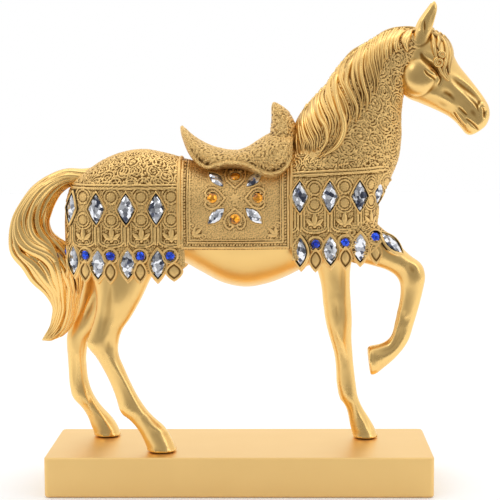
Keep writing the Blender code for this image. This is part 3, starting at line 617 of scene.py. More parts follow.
class Carving:
    """A height map drawn with round strokes, which a surface then takes on."""

    def __init__(self, low: Place, high: Place, step: float = 0.12) -> None:
        """Makes a flat map.

        Args:
            low: its lowest corner.
            high: its highest corner.
            step: its fineness.
        """
        self.low, self.step = np.array(low, float), step
        size = np.ceil((np.array(high) - low) / step).astype(int) + 1
        self.heights = np.zeros(size)
        self.relief: Array | None = None

    def stroke(self, points: Points, radius: float, height: float, ends: float = 1.0) -> None:
        """Draws a raised line.

        Args:
            points: the line's points, shape (count, 2).
            radius: half its width.
            height: how high it stands.
            ends: its width at the last point, as a share of the first.
        """
        points = np.asarray(points, float)
        lengths = np.concatenate([[0], np.cumsum(norm(np.diff(points, axis=0), axis=1))])
        count = max(2, int(lengths[-1] / (self.step * 2)) + 2)
        wanted = np.linspace(0, lengths[-1], count)
        line = np.stack([np.interp(wanted, lengths, points[:, k]) for k in range(2)], 1)
        for k, point in enumerate(line):
            r = radius * (1 + (ends - 1) * k / (count - 1))
            self.dot(point, r, height * min(1.0, r / radius + 0.15))

    def dot(self, middle: Place, radius: float, height: float) -> None:
        """Draws a raised round dot, or a sunk one if height is negative.

        Args:
            middle: its middle.
            radius: its radius.
            height: how high it stands.
        """
        at = (np.asarray(middle) - self.low) / self.step
        reach = radius / self.step
        x0, y0 = np.maximum(np.floor(at - reach).astype(int), 0)
        x1, y1 = np.minimum(np.ceil(at + reach).astype(int) + 1, self.heights.shape)
        if x1 <= x0 or y1 <= y0:
            return
        dx = (np.arange(x0, x1) - at[0])[:, None] / reach
        dy = (np.arange(y0, y1) - at[1])[None, :] / reach
        dome = np.sqrt(np.clip(1 - dx**2 - dy**2, 0, 1)) * abs(height)
        window = self.heights[x0:x1, y0:y1]
        if height < 0:
            np.minimum(window, -dome, out=window)
        else:
            np.maximum(window, dome, out=window)

    def ring(
        self, middle: Place, radius: float, width: float, height: float, between: Place = (0, 360)
    ) -> None:
        """Draws a ring, or the part of it between two angles in degrees."""
        turn = np.radians(np.linspace(*between, 40))
        self.stroke(circling(middle, radius, turn), width, height)

    def scroll(
        self, middle: Place, radius: float, turns: float, start: float, hand: int, width: float, height: float
    ) -> None:
        """Draws a scroll that winds in to a small eye.

        Args:
            middle: its middle.
            radius: how far out it starts.
            turns: how often it winds.
            start: the angle at which it starts.
            hand: 1 or -1, the way it winds.
            width: half the line's width.
            height: how high the line stands.
        """
        t = np.linspace(0, 1, 60)
        turn = start + hand * 2 * np.pi * turns * t
        line = circling(middle, radius * (1 - t) ** 0.8 + 0.35, turn)
        self.stroke(line, width, height, 0.75)
        self.dot(line[-1], width * 1.3, height * 1.25)

    def leaf(self, foot: Place, angle: float, length: float, width: float, height: float) -> None:
        """Draws a pointed leaf that bulges towards its middle.

        Args:
            foot: where it starts.
            angle: the way it points, in degrees.
            length: its length.
            width: its width.
            height: how high it stands.
        """
        a = math.radians(angle)
        way = np.array((math.cos(a), math.sin(a)))
        for t in np.linspace(0.04, 0.98, max(8, int(length / 0.25))):
            r = width / 2 * math.sin(math.pi * t**0.8) + 0.12
            self.dot(np.asarray(foot) + way * length * t, r, height * (0.55 + 0.45 * math.sin(math.pi * t)))

    def granulate(self, pitch: float, radius: float, height: float, seed: int) -> None:
        """Covers the bare ground with small grains.

        Args:
            pitch: the distance between grains.
            radius: a grain's radius.
            height: how high a grain stands.
            seed: the seed of the grains' places.
        """
        random = np.random.default_rng(seed)
        raised = self.heights > 0.08
        size = np.array(self.heights.shape) * self.step
        for x in np.arange(0, size[0], pitch):
            for y in np.arange(0, size[1], pitch):
                middle = self.low + (x, y) + random.uniform(-0.35, 0.35, 2) * pitch
                i, j = ((middle - self.low) / self.step).astype(int)
                if 0 <= i < raised.shape[0] and 0 <= j < raised.shape[1] and not raised[i, j]:
                    self.dot(middle, radius * random.uniform(0.7, 1.2), height)

    def blurred(self, reach: float) -> Array:
        """The heights, smoothed over a distance.

        Args:
            reach: the distance.

        Returns:
            The smoothed map.
        """
        cells = max(1, round(reach / self.step))
        kernel = np.ones(2 * cells + 1) / (2 * cells + 1)

        def running_mean(line: Array) -> Array:
            """A line of the map, smoothed."""
            return np.convolve(np.pad(line, cells, mode="edge"), kernel, "valid")

        smooth = self.heights
        for axis in (0, 1, 0, 1):
            smooth = np.apply_along_axis(running_mean, axis, smooth)
        return smooth

    def tones(self, s: Array, z: Array) -> Array:
        """How dark or light the colour is at places on the map: hollows dark with painted shade, ridges light
        with painted highlights.

        Args:
            s: the places' first coordinate.
            z: their second.

        Returns:
            The tones, 0.5 where the ground is even.
        """
        if self.relief is None:
            self.relief = self.heights - 0.6 * self.blurred(0.55) - 0.4 * self.blurred(1.6)
        return 0.5 + 2.4 * self.sample(s, z, self.relief)

    def sample(self, s: Array, z: Array, h: Array | None = None) -> Array:
        """The heights at places on the map, zero outside it.

        Args:
            s: the places' first coordinate.
            z: their second.
            h: another map of the same size, in the heights' stead.

        Returns:
            The heights.
        """
        h = self.heights if h is None else h
        at = [(s - self.low[0]) / self.step, (z - self.low[1]) / self.step]
        inside = (at[0] >= 0) & (at[1] >= 0) & (at[0] < h.shape[0] - 1) & (at[1] < h.shape[1] - 1)
        i = np.clip(at[0].astype(int), 0, h.shape[0] - 2)
        j = np.clip(at[1].astype(int), 0, h.shape[1] - 2)
        fi, fj = at[0] - i, at[1] - j
        low = h[i, j] * (1 - fi) + h[i + 1, j] * fi
        high = h[i, j + 1] * (1 - fi) + h[i + 1, j + 1] * fi
        return np.where(inside, low * (1 - fj) + high * fj, 0)


def filigree(carving: Carving, pitch: float, seed: int, width: float, height: float, turns: float) -> None:
    """Fills a carving with scrolls, and the gaps between them with leaves and dots.

    Args:
        carving: the map to fill.
        pitch: the distance between scrolls.
        seed: the seed of the scrolls' turns.
        width: half the lines' width.
        height: how high the lines stand.
        turns: how often a scroll winds.
    """
    random = np.random.default_rng(seed)
    size = np.array(carving.heights.shape) * carving.step
    for row, y in enumerate(np.arange(0, size[1] + pitch, pitch * 0.87)):
        for x in np.arange(0, size[0] + pitch, pitch):
            middle = carving.low + (x + (row % 2) * pitch / 2, y) + random.uniform(-0.14, 0.14, 2) * pitch
            start, hand = random.uniform(0, 2 * math.pi), 1 if random.random() < 0.5 else -1
            reach = pitch * random.uniform(0.42, 0.55)
            carving.scroll(middle, reach, turns * random.uniform(0.8, 1.1), start, hand, width, height)
            tail = start - hand * np.linspace(0, 1.6, 14)
            sweep = reach + 0.35 + np.linspace(0, pitch * 0.16, 14)
            carving.stroke(circling(middle, sweep, tail), width, height, 0.5)
    for _ in range(int(size[0] * size[1] / (width * 5) ** 2 * 3)):
        foot = carving.low + random.uniform(0, 1, 2) * size
        if carving.sample(foot[0], foot[1]) < 0.04:
            angle, length = random.uniform(0, 360), width * random.uniform(3.0, 5.5)
            carving.leaf(foot, angle, length, width * 1.9, height * 0.8)


# Finishes


@dataclass
class Nodes:
    """A node tree, written node by node."""

    tree: bpy.types.NodeTree

    def add(self, kind: str, values: dict | None = None, links: dict | None = None) -> bpy.types.Node:
        """Adds a node.

        Args:
            kind: its kind, as the shader nodes' names end.
            values: its inputs' values, by the inputs' names or numbers.
            links: the outputs that its inputs take, in the same way.

        Returns:
            The node.
        """
        made = self.tree.nodes.new("ShaderNode" + kind)
        for name, value in (values or {}).items():
            made.inputs[name].default_value = value
        self.join(made, links or {})
        return made

    def join(self, node: bpy.types.Node, links: dict) -> None:
        """Links outputs to a node's inputs, which are given by name or number."""
        for name, output in links.items():
            self.tree.links.new(output, node.inputs[name])

    def ramp(self, place: Socket, stops: Sequence[tuple]) -> Socket:
        """Adds a colour ramp.

        Args:
            place: the output that says where on the ramp a point lies.
            stops: the ramp's positions, each with its colour.

        Returns:
            The colour that comes out.
        """
        made = self.add("ValToRGB", links={0: place})
        elements = made.color_ramp.elements
        while len(elements) < len(stops):
            elements.new(0.5)
        for element, (position, colour) in zip(elements, stops):
            element.position = position
            element.color = (*colour, 1)
        return made.outputs[0]


@dataclass(frozen=True)
class GoldFinish:
    """A gold lacquer: its colour, the darker one in its hollows, which is painted shade, how much lighter its
    painted highlights are, and how rough and grainy it is.
    """

    name: str
    colour: Triple
    shade_colour: Triple
    roughness: float
    grain: float = 900.0
    bump: float = 0.05
    stipple: float = 0.0
    pit: float = 0.0005
    toned: bool = True
    cloud: float = 0.16
    highlight_gain: float = 1.12

    def material(self) -> bpy.types.Material:
        """Makes the material.

        Returns:
            The node material.
        """
        made = bpy.data.materials.new(self.name)
        made.use_nodes = True
        nodes = Nodes(made.node_tree)
        shader = made.node_tree.nodes["Principled BSDF"]
        shader.inputs["Metallic"].default_value = 1.0
        place = nodes.add("TexCoord").outputs["Object"]
        total = self.shade(nodes, place)
        # Low tones take the painted shade colour and high ones the painted highlight; the clouds only shift
        # them at random
        highlight_colour = [min(1.0, c * self.highlight_gain) for c in self.colour]
        colour = nodes.ramp(total, ((0.12, self.shade_colour), (0.50, self.colour), (0.95, highlight_colour)))
        ends = {"To Min": self.roughness + 0.16, "To Max": self.roughness - 0.05}
        wear = nodes.add("MapRange", {"From Min": 0.1, "From Max": 0.9, **ends}, {"Value": total})
        relief = self.relief(nodes, place)
        nodes.join(shader, {"Base Color": colour, "Roughness": wear.outputs[0], "Normal": relief})
        return made

    def shade(self, nodes: Nodes, place: Socket) -> Socket:
        """Adds how light each point is: the piece's own tones, which hold painted shade and painted
        highlights, under soft clouds that vary it at random.

        Args:
            nodes: the material's nodes.
            place: the output with a point's place.

        Returns:
            The output with the tone.
        """
        cloud = nodes.add("TexNoise", {"Scale": 45.0, "Detail": 4.0}, {"Vector": place})
        middle = 0.0 if self.toned else 0.5
        shift = nodes.add("Math", {1: self.cloud, 2: middle - self.cloud / 2}, {0: cloud.outputs["Fac"]})
        shift.operation = "MULTIPLY_ADD"
        if not self.toned:
            return shift.outputs[0]
        tone = nodes.add("Attribute")
        tone.attribute_name = "tone"
        return nodes.add("Math", links={0: tone.outputs["Fac"], 1: shift.outputs[0]}).outputs[0]

    def relief(self, nodes: Nodes, place: Socket) -> Socket:
        """Adds the fine grain and, where the finish has them, stippled pits.

        Args:
            nodes: the material's nodes.
            place: the output with a point's place.

        Returns:
            The output with the normal.
        """
        grain = nodes.add("TexNoise", {"Scale": self.grain, "Detail": 3.0}, {"Vector": place})
        sizes = {"Strength": self.bump, "Distance": 0.0004}
        bump = nodes.add("Bump", sizes, {"Height": grain.outputs["Fac"]})
        if not self.stipple:
            return bump.outputs[0]
        pits = nodes.add("TexVoronoi", {"Scale": 1000.0}, {"Vector": place})
        heights = {"Height": pits.outputs["Distance"], "Normal": bump.outputs[0]}
        dots = nodes.add("Bump", {"Strength": self.stipple, "Distance": self.pit}, heights)
        dots.invert = True
        return dots.outputs[0]


@dataclass(frozen=True)
class GemFinish:
    """A foil-backed stone: its light and dark facets, whose colours paint its glints and dark reflections,
    how small they are and how far they tilt.
    """

    name: str
    light: Triple
    dark: Triple
    facets: float
    tilt: float = 0.55

    def material(self) -> bpy.types.Material:
        """Makes the material, whose inner facets tilt the shine by turns.

        Returns:
            The node material.
        """
        made = bpy.data.materials.new(self.name)
        made.use_nodes = True
        nodes = Nodes(made.node_tree)
        shader = made.node_tree.nodes["Principled BSDF"]
        shader.inputs["Metallic"].default_value = 0.85
        shader.inputs["Roughness"].default_value = 0.06
        shader.inputs["Coat Weight"].default_value = 1.0
        shader.inputs["Coat Roughness"].default_value = 0.03
        place = nodes.add("TexCoord").outputs["Object"]
        cells = nodes.add("TexVoronoi", {"Scale": self.facets, "Randomness": 0.8}, {"Vector": place})
        split = nodes.add("SeparateColor", links={0: cells.outputs["Color"]})
        # The stone's own colour, split at random per facet into a light and a dark one: painted glints and
        # dark reflections
        colour = nodes.ramp(split.outputs[0], ((0.12, self.dark), (0.62, self.light)))
        tilts = {1: [self.tilt] * 3, 2: [-self.tilt / 2] * 3}
        turn = nodes.add("VectorMath", tilts, {0: cells.outputs["Color"]})
        turn.operation = "MULTIPLY_ADD"
        facing = nodes.add("NewGeometry").outputs["Normal"]
        tilted = nodes.add("VectorMath", links={0: facing, 1: turn.outputs[0]})
        unit = nodes.add("VectorMath", links={0: tilted.outputs[0]})
        unit.operation = "NORMALIZE"
        nodes.join(shader, {"Base Color": colour, "Normal": unit.outputs[0]})
        return made


# The dark brown painted into the carving's hollows as shade
HOLLOW_SHADE = (0.20, 0.10, 0.025)
# Each toned gold's second colour is the painted shade that its dark tones take
POLISHED = GoldFinish("polished_gold", (0.88, 0.585, 0.215), (0.34, 0.16, 0.03), 0.29)
CARVED = GoldFinish("carved_gold", (0.86, 0.575, 0.225), HOLLOW_SHADE, 0.42, bump=0.15, stipple=0.35)
STIPPLED = GoldFinish("stippled_gold", (0.84, 0.56, 0.225), HOLLOW_SHADE, 0.45, bump=0.15, stipple=0.7)
SADDLE = GoldFinish("saddle_gold", (0.80, 0.54, 0.215), HOLLOW_SHADE, 0.42, bump=0.15, stipple=1.0, pit=0.0009)
# The bezels' near-black second colour is the painted shadow in the gap round each stone
BEZEL = GoldFinish("bezel_gold", (0.86, 0.575, 0.225), (0.035, 0.022, 0.012), 0.34)
HAIR = GoldFinish("hair_gold", (0.88, 0.585, 0.215), (0.22, 0.10, 0.02), 0.30)
PLINTH = GoldFinish(
    "plinth_gold", (0.88, 0.595, 0.235), (0.86, 0.57, 0.21), 0.36, grain=1800.0, bump=0.03, toned=False
)
CLEAR = GemFinish("clear_stone", (0.90, 0.92, 0.97), (0.05, 0.06, 0.10), 420.0)
BLUE_STONE = GemFinish("blue_stone", (0.01, 0.085, 0.85), (0.0, 0.008, 0.3), 380.0)
AMBER_STONE = GemFinish("amber_stone", (1.0, 0.40, 0.01), (0.22, 0.05, 0.0), 380.0)


class Palette:
    """Makes each finish once."""

    def __init__(self) -> None:
        """Starts with no finish made."""
        self.made: dict[str, bpy.types.Material] = {}

    def paint(
        self, piece: Piece, finish: GoldFinish | GemFinish, slot: Slot, *nodes: str
    ) -> Piece:
        """Gives a piece its finish, puts it on the body and hides the nodes that it stands for.

        Args:
            piece: the piece.
            finish: its finish.
            slot: the record's slot for it; not used.
            nodes: the nodes that it stands for.

        Returns:
            The piece.
        """
        if finish.name not in self.made:
            self.made[finish.name] = finish.material()
        piece.data.materials.clear()
        piece.data.materials.append(self.made[finish.name])
        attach(piece, "root")
        if nodes:
            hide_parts(*nodes)
        LOG.info("%s: %d faces", piece.name, len(piece.data.polygons))
        return piece

    def gild(self, piece: Piece, finish: GoldFinish) -> Piece:
        """Gives a piece of the casting its gold."""
        return self.paint(piece, finish, Slot.GOLD, "horse")


# The horse


@dataclass(frozen=True)
class Groove:
    """A groove cut into a limb as seen from the side: its x and z points, half width and depth."""

    points: tuple
    half: float
    depth: float


def cut_grooves(
    made: Piece,
    grooves: Sequence[Groove],
    low: Place,
    high: Place,
    keep: Callable[[Array], Array] | None = None,
    blur: float = 0.5,
) -> None:
    """Cuts grooves into both flanks of a piece, or raises ridges where their depth is negative.

    Args:
        made: the piece.
        grooves: what to cut.
        low: the lowest x and z that they reach.
        high: the highest ones.
        keep: tells, from the points' y, which of them a groove may reach.
        blur: how softly their edges run out.
    """
    points, out = coordinates(made.data), normals(made.data)
    x, y, z = drawn(points).T
    cuts = Carving(low, high, 0.2)
    for groove in grooves:
        fine = curve_through(groove.points, 0.3)
        for k, point in enumerate(fine):
            swell = math.sin(math.pi * (0.12 + 0.76 * k / max(1, len(fine) - 1)))
            cuts.dot(point, groove.half * swell + 0.2, -groove.depth * swell)
    cuts.heights = cuts.blurred(blur)
    sideways = np.clip(np.abs(out[:, 1]) * 1.8 - 0.2, 0, 1)
    if keep is not None:
        sideways = sideways * keep(y)
    move_points(made, points + out * (cuts.sample(x, z) * sideways * MM)[:, None])


@dataclass
class Body:
    """The bare casting: trunk, legs and hooves."""

    palette: Palette
    voxel: float = 1.25
    collar_height: float = 1.5
    collar_flare: float = 1.2
    near_grooves: tuple = (
        Groove(((-85.1, 89.1), (-79, 81.3), (-74, 73.6), (-70, 64.7), (-67, 57.4), (-65, 52.7)), 1.2, 0.6),
        Groove(((-82, 88.1), (-77, 79.6), (-72, 71.6), (-68.4, 65), (-62.4, 53.7),
                (-57.8, 46.9)), 1.5, -0.4),
        Groove(((-59.7, 48.2), (-55.1, 43.4), (-49.5, 39.2), (-45.4, 36.6), (-42.9, 31.3),
                (-41.9, 27.6)), 1, 0.8),
        Groove(((-57, 45.4), (-53.7, 41.6), (-47, 37.8)), 1.1, -0.5),
        Groove(((102.9, 113.2), (102.1, 109.6), (102.4, 106)), 0.8, 0.5),
        Groove(((105.9, 110.1), (103.9, 107), (102.1, 104.4)), 0.8, 0.4),
        Groove(((100.2, 107.2), (98.2, 102), (96.2, 95.8), (93.7, 91.6), (91.1, 90.6)), 1.2, -0.5),
        Groove(((84.4, 88.6), (84, 84), (85, 78)), 1.2, 0.5),
    )
    near_hollows: tuple = (
        Groove(((-78.6, 130), (-79.6, 120.5), (-80.5, 114.2), (-82.1, 108), (-83.5, 102.8),
                (-84.8, 98.2)), 3.2, 0.9),
        Groove(((-80.9, 97), (-80.2, 89)), 1.8, 0.6),
        Groove(((-88, 128), (-90, 116), (-92, 106)), 1.8, 0.6),
        Groove(((101.8, 103), (99.3, 97.3), (96.2, 92.1), (91.6, 89), (83.9, 87.5)), 2, 0.9),
        Groove(((104.1, 142.8), (107, 140.2), (108.8, 136.1)), 1.6, 1),
    )
    far_grooves: tuple = (
        Groove(((-99.5, 53.2), (-97.4, 47.7), (-93.7, 41.1), (-89.5, 34.5), (-86.3, 29.5)), 1.1, 0.8),
        Groove(((-97.8, 53.2), (-95.3, 46), (-91, 38.9), (-86.8, 32.3), (-83.6, 28.4)), 1.2, -0.5),
        Groove(((-94.5, 122.2), (-98.4, 114.1), (-101.8, 106.6)), 1.8, -0.5),
        Groove(((-108.7, 81), (-108.7, 70), (-108.8, 60)), 1.6, 0.5),
        Groove(((61.3, 116), (62.1, 109.6), (62.6, 104.2), (62.6, 100.4)), 0.9, 0.5),
        Groove(((60.8, 95.4), (62.7, 88.9), (64.8, 83.5), (66.7, 77), (67.3, 72.1)), 1.2, 0.5),
        Groove(((62.4, 96), (64.8, 90.5), (67.2, 84.6), (69, 78.1)), 1.4, -0.3),
        Groove(((73.5, 52), (77.5, 44), (81.5, 37), (84.5, 29)), 1.1, 0.7),
    )
    far_hollows: tuple = (
        Groove(((-95, 118), (-98.5, 108), (-103, 98)), 2, 0.7),
        Groove(((66, 140), (65.5, 128), (65.8, 118)), 1.6, 0.7),
    )

    def build(self) -> Piece:
        """Makes the piece.

        Returns:
            The piece.
        """
        shell = Shell()
        shell.grid(trunk_sections(2.0, 72))
        for rows in (HIND_LEG_RIGHT, HIND_LEG_LEFT, FORELEG_LEFT, FORELEG_RIGHT):
            shell.grid(sections(rows, 1.5, 48))
            self.tendons(shell, rows)
        for rows in (HIND_LEG_RIGHT, HIND_LEG_LEFT, FORELEG_LEFT):
            self.collar(shell, rows[-1])
        shell.grid(sections(inner_neck(), 2.0, 60))
        made = fused(shell, "body", self.voxel, 3)
        for grooves, side, blur in (
            (self.near_hollows, -1, 1.2),
            (self.far_hollows, 1, 1.2),
            (self.near_grooves, -1, 0.5),
            (self.far_grooves, 1, 0.5),
        ):
            cut_grooves(made, grooves, (-120, 24), (120, 150), lambda y, side=side: side * y > 3, blur)
        shade_hollows(made, 0.16, 2)
        return self.palette.gild(made, POLISHED)

    def tendons(self, shell: Shell, rows: Points) -> None:
        """Adds the cord that runs down the back of a leg's lower half.

        Args:
            shell: what the cord is added to.
            rows: the leg's rows.
        """
        low = [r for r in curve_through(rows, 3.0) if 48 < r[3] < 116 and r[5] < 8]
        line = [(r[2] + (r[0] - r[2]) * 0.13, r[4], r[3] + (r[1] - r[3]) * 0.13) for r in low]
        widths = [0.36 * r[5] for r in low]
        shell.grid(tube(np.array(line), np.array(widths), 12))

    def collar(self, shell: Shell, sole: Place) -> None:
        """Adds the thin rim round a hoof.

        Args:
            shell: what the rim is added to.
            sole: the leg's last row.
        """
        xa, z, xb, _, y, width = sole
        flare = self.collar_flare
        foot = (xa + flare, z, xb - flare, z, y, width + flare)
        top = (xa, z + self.collar_height, xb, z + self.collar_height, y, width)
        shell.grid(np.array([section(row, LIMB_SQUARENESS, 48) for row in (top, foot)]))


def inner_neck() -> list:
    """The neck's foot, kept inside the chest cloth that covers it."""
    (xa, za, *rest), (xb, zb, *more) = NECK[:2]
    return [(xa - 1.6, za, *rest), (xb - 0.9, zb, *more), *NECK[2:4]]


def grown(rows: Points, by: float) -> list:
    """Limb rows made wider all round by a distance.

    Args:
        rows: the limb's rows.
        by: the distance.

    Returns:
        The wider rows.
    """
    made = []
    for xa, za, xb, zb, y, width in rows:
        length = math.hypot(xa - xb, za - zb)
        dx, dz = (xa - xb) / length * by, (za - zb) / length * by
        made.append((xa + dx, za + dz, xb - dx, zb - dz, y, width + by))
    return made


def lock_tones(rows: int, count: int, ridges: int, edge: float = 0.6) -> Array:
    """The tones of a lock's rings: painted highlights on the ridges, painted shade between them and along its
    edges.

    Args:
        rows: how many rings.
        count: how many points a ring has.
        ridges: how many ridges run along the lock.
        edge: how quickly its edges turn dark with painted shade.

    Returns:
        The tones, shape (rows, count).
    """
    turn = 2 * np.pi * np.arange(count) / count
    tone = 0.04 + 0.58 * np.clip(np.sin(turn), 0, 1) ** edge - 0.22 * (0.5 - 0.5 * np.cos(ridges * turn))
    return np.broadcast_to(np.clip(tone, 0, 1), (rows, count))


def tube(
    line: Array,
    halves: Array,
    count: int,
    flat: float = 1.0,
    side: Place | Points = (0.0, 1.0, 0.0),
    ridges: int = 0,
    depth: float = 0.0,
) -> Array:
    """A grid of rings round a line.

    Args:
        line: the line's points.
        halves: half the width at each point.
        count: how many points a ring has.
        flat: the thickness as a share of the width.
        side: the way the thickness points, for each point or for all.
        ridges: how many ridges run along the tube.
        depth: how deep the grooves between them are, as a share of the width.

    Returns:
        The grid, shape (points, count, 3).
    """
    tangents = np.gradient(line, axis=0)
    tangents /= norm(tangents, axis=1)[:, None] + 1e-9
    side = np.broadcast_to(np.array(side, float), line.shape)
    across = np.cross(tangents, side)
    across /= norm(across, axis=1)[:, None] + 1e-9
    up = np.cross(across, tangents)
    turn = 2 * np.pi * np.arange(count) / count
    reach = 1 - depth * (0.5 - 0.5 * np.cos(ridges * turn))
    ring = across[:, None, :] * (np.cos(turn) * reach)[None, :, None]
    ring = ring + up[:, None, :] * (np.sin(turn) * reach * flat)[None, :, None]
    return line[:, None, :] + ring * halves[:, None, None]


@dataclass
class Cloth:
    """One of the three cloths over the trunk, with its carving."""

    palette: Palette
    name: str
    first: float
    last: float
    hem: float
    finish: GoldFinish
    step: float = 0.54
    thickness: float = 1.5
    inward: float = 0.06
    fall: float = 1.6
    band: Carving | None = None
    crown: Carving | None = None
    band_top: Pair = (0.0, 0.0)
    lean: Triple = (0.0, 1.0, 0.0)
    limbs: BVHTree | None = None

    def draped(self, row: Place, count: int) -> Array:
        """One section of the cloth from its inner edge on one side over the back to the other's.

        Args:
            row: the trunk's row under it.
            count: about how many points are wanted.

        Returns:
            The points, shape (any, 3).
        """
        x, top, low, width, square = row
        grow = self.thickness
        points = section((x, top + grow, x, low, 0, width + grow), square, 720)
        middle = (top + low) / 2
        side = points[:360]
        under = side[:, 2] < middle
        share = np.clip((middle - side[:, 2]) / (middle - low), 0, 1)
        y = np.where(under, (width + grow) * (1 - self.inward * share), side[:, 1])
        z = np.where(under, middle - (middle - self.hem) * np.minimum(1.0, self.fall * share), side[:, 2])
        keep = ~(under & (self.fall * share > 1.0))
        outer = np.stack([np.full(keep.sum(), x), y[keep], z[keep]], 1)
        outer = np.vstack([outer, [[x, outer[-1, 1], self.hem]]])
        lip = outer[-1] + np.array([[0, -0.7, -0.35], [0, -1.5, 0.0], [0, -1.6, 3.0]])
        half = np.vstack([evened(outer, count // 2 - 3), lip])
        mirrored = half * (1, -1, 1)
        return np.vstack([mirrored[::-1], half[1:]])

    def grid(self) -> Array:
        """The plain cloth's points."""
        rows = [r for r in torso_rows(self.step) if self.first <= r[0] <= self.last]
        return np.array([self.draped(row, self.columns) for row in rows])

    @property
    def columns(self) -> int:
        """How many points a section has."""
        return 2 * round(82 / self.step)

    def build(self) -> Piece:
        """Makes the piece: the plain cloth, moved out by its carvings.

        Returns:
            The piece.
        """
        grid = self.leant(self.grid())
        out = outward(grid)
        if out[len(out) // 2, grid.shape[1] // 2, 2] < 0:
            out = -out
        if self.limbs is not None:
            under = np.clip((self.band_edge(grid) + 2.6 - grid[:, :, 2]) / 1.6, 0, 1)
            grid = grid + out * (self.over_limbs(grid, out) * under)[..., None]
        height, tone = self.carved(grid)
        shell = Shell()
        shell.grid(grid + out * height[..., None], closed=False, tone=tone)
        made = shell.mesh_object(self.name)
        return self.palette.gild(made, self.finish)

    def band_edge(self, grid: Array) -> Array:
        """The height of the band's upper edge at the cloth's points."""
        return np.interp(grid[:, :, 0], (self.first, self.last), self.band_top)

    def leant(self, grid: Array) -> Array:
        """Leans the cloth's end forwards or back towards its hem, whose corner rises.

        Args:
            grid: the plain cloth's points.

        Returns:
            The same points, moved.
        """
        start, end, shift = self.lean
        low = np.clip((176 - grid[:, :, 2]) / 26, 0, 1)
        share = np.clip((grid[:, :, 0] - start) / (end - start), 0, 1)
        grid[:, :, 0] += shift * share * low
        grid[:, :, 2] += 1.7 * abs(shift) * share**2 * np.clip((self.hem + 9 - grid[:, :, 2]) / 9, 0, 1)
        return grid

    def carved(self, grid: Array) -> tuple[Array, Array]:
        """Reads the carvings: the band's below its upper edge, and the crown's above it.

        Args:
            grid: the cloth's points.

        Returns:
            The heights and the tones.
        """
        steps = norm(np.diff(grid, axis=1), axis=2)
        girth = np.concatenate([np.zeros((len(grid), 1)), np.cumsum(steps, axis=1)], 1)
        girth = np.abs(girth - girth[:, [grid.shape[1] // 2]]) * np.sign(grid[:, :, 1] + 1e-6)
        height, tone = np.zeros(grid.shape[:2]), np.full(grid.shape[:2], 0.5)
        x, z = grid[:, :, 0], grid[:, :, 2]
        edge = self.band_edge(grid)
        for carving, here, u, v in (
            (self.band, z < edge, run_along(x), z),
            (self.crown, z >= edge, x, girth),
        ):
            if carving is not None:
                height = np.where(here, carving.sample(u, v), height)
                tone = np.where(here, carving.tones(u, v), tone)
        height[:, :3] = height[:, -3:] = 0
        return height, tone

    def over_limbs(self, grid: Array, out: Array, reach: float = 9.0) -> Array:
        """How far the cloth moves out to lie over the legs' tops.

        Args:
            grid: the plain cloth's points.
            out: the ways out of the cloth.
            reach: the most that it moves.

        Returns:
            The distances.
        """
        lift = np.zeros(grid.shape[:2])
        for i in range(grid.shape[0]):
            for j in range(3, grid.shape[1] - 3):
                start = Vector(grid[i, j] + out[i, j] * reach)
                hit, normal, _, distance = self.limbs.ray_cast(start, Vector(-out[i, j]), reach)
                if hit is not None and normal.dot(Vector(out[i, j])) > 0.2:
                    lift[i, j] = reach - distance
        for _ in range(3):
            soft = lift.copy()
            sums = lift[1:-1, 1:-1] * 2 + lift[2:, 1:-1] + lift[:-2, 1:-1]
            soft[1:-1, 1:-1] = (sums + lift[1:-1, 2:] + lift[1:-1, :-2]) / 6
            lift = np.maximum(lift, soft * 0.98)
        lift[:, :3] = lift[:, [3]]
        lift[:, -3:] = lift[:, [-4]]
        return lift


TRUNK = torso_rows(0.5)


def run_along(x: Array) -> Array:
    """The length along the trunk's side, measured round its ends, for places x along it.

    Args:
        x: the places.

    Returns:
        The lengths, which grow past x where the trunk narrows.
    """
    flat = np.argmin(np.abs(TRUNK[:, 0]))
    steps = np.hypot(np.diff(TRUNK[:, 0]), np.diff(TRUNK[:, 3]))
    length = np.concatenate([[0], np.cumsum(steps)])
    beyond = 1.4 * np.maximum(x - TRUNK[-1, 0], 0)
    return np.interp(x, TRUNK[:, 0], length - length[flat] + TRUNK[flat, 0]) + beyond


@dataclass(frozen=True)
class Seat:
    """Where a stone sits: its middle, its width and length, and its three directions."""

    name: str
    middle: Array
    across: Array
    along: Array
    out: Array
    width: float
    length: float

    @staticmethod
    def of(node: Piece) -> "Seat":
        """Reads a stone's seat from its solid, whose largest flat face is its back.

        Args:
            node: the solid.

        Returns:
            The seat.
        """
        points = coordinates(node.data)
        bm = bmesh.new()
        bm.from_mesh(node.data)
        bmesh.ops.remove_doubles(bm, verts=bm.verts, dist=1e-6)
        areas: dict[tuple, float] = {}
        for face in bm.faces:
            key = tuple(round(v, 2) for v in face.normal)
            areas[key] = areas.get(key, 0) + face.calc_area()
        bm.free()
        back = np.array(max(areas, key=areas.get))
        out = -back / norm(back)
        depth = (points - points.mean(0)) @ out
        base = points[depth < depth.min() + 1e-4]
        gaps = norm(base[:, None] - base[None], axis=2)
        i, j = np.unravel_index(np.argmax(gaps), gaps.shape)
        along = base[i] - base[j]
        length = norm(along)
        middle = (base[i] + base[j]) / 2
        along = along / length
        if along[2] < 0:
            along = -along
        across = np.cross(along, out)
        width = np.ptp((base - middle) @ across)
        return Seat(node.name, drawn(middle), across, along, out, width / MM, length / MM)

    def at(self, x: float, y: float, height: float) -> Array:
        """A point of the seat in drawing units."""
        return self.middle + self.across * x + self.along * y + self.out * height


class Cut(str, Enum):
    """The outlines that the stones have."""

    LOZENGE = "lozenge"
    MARQUISE = "marquise"
    ROUND = "round"


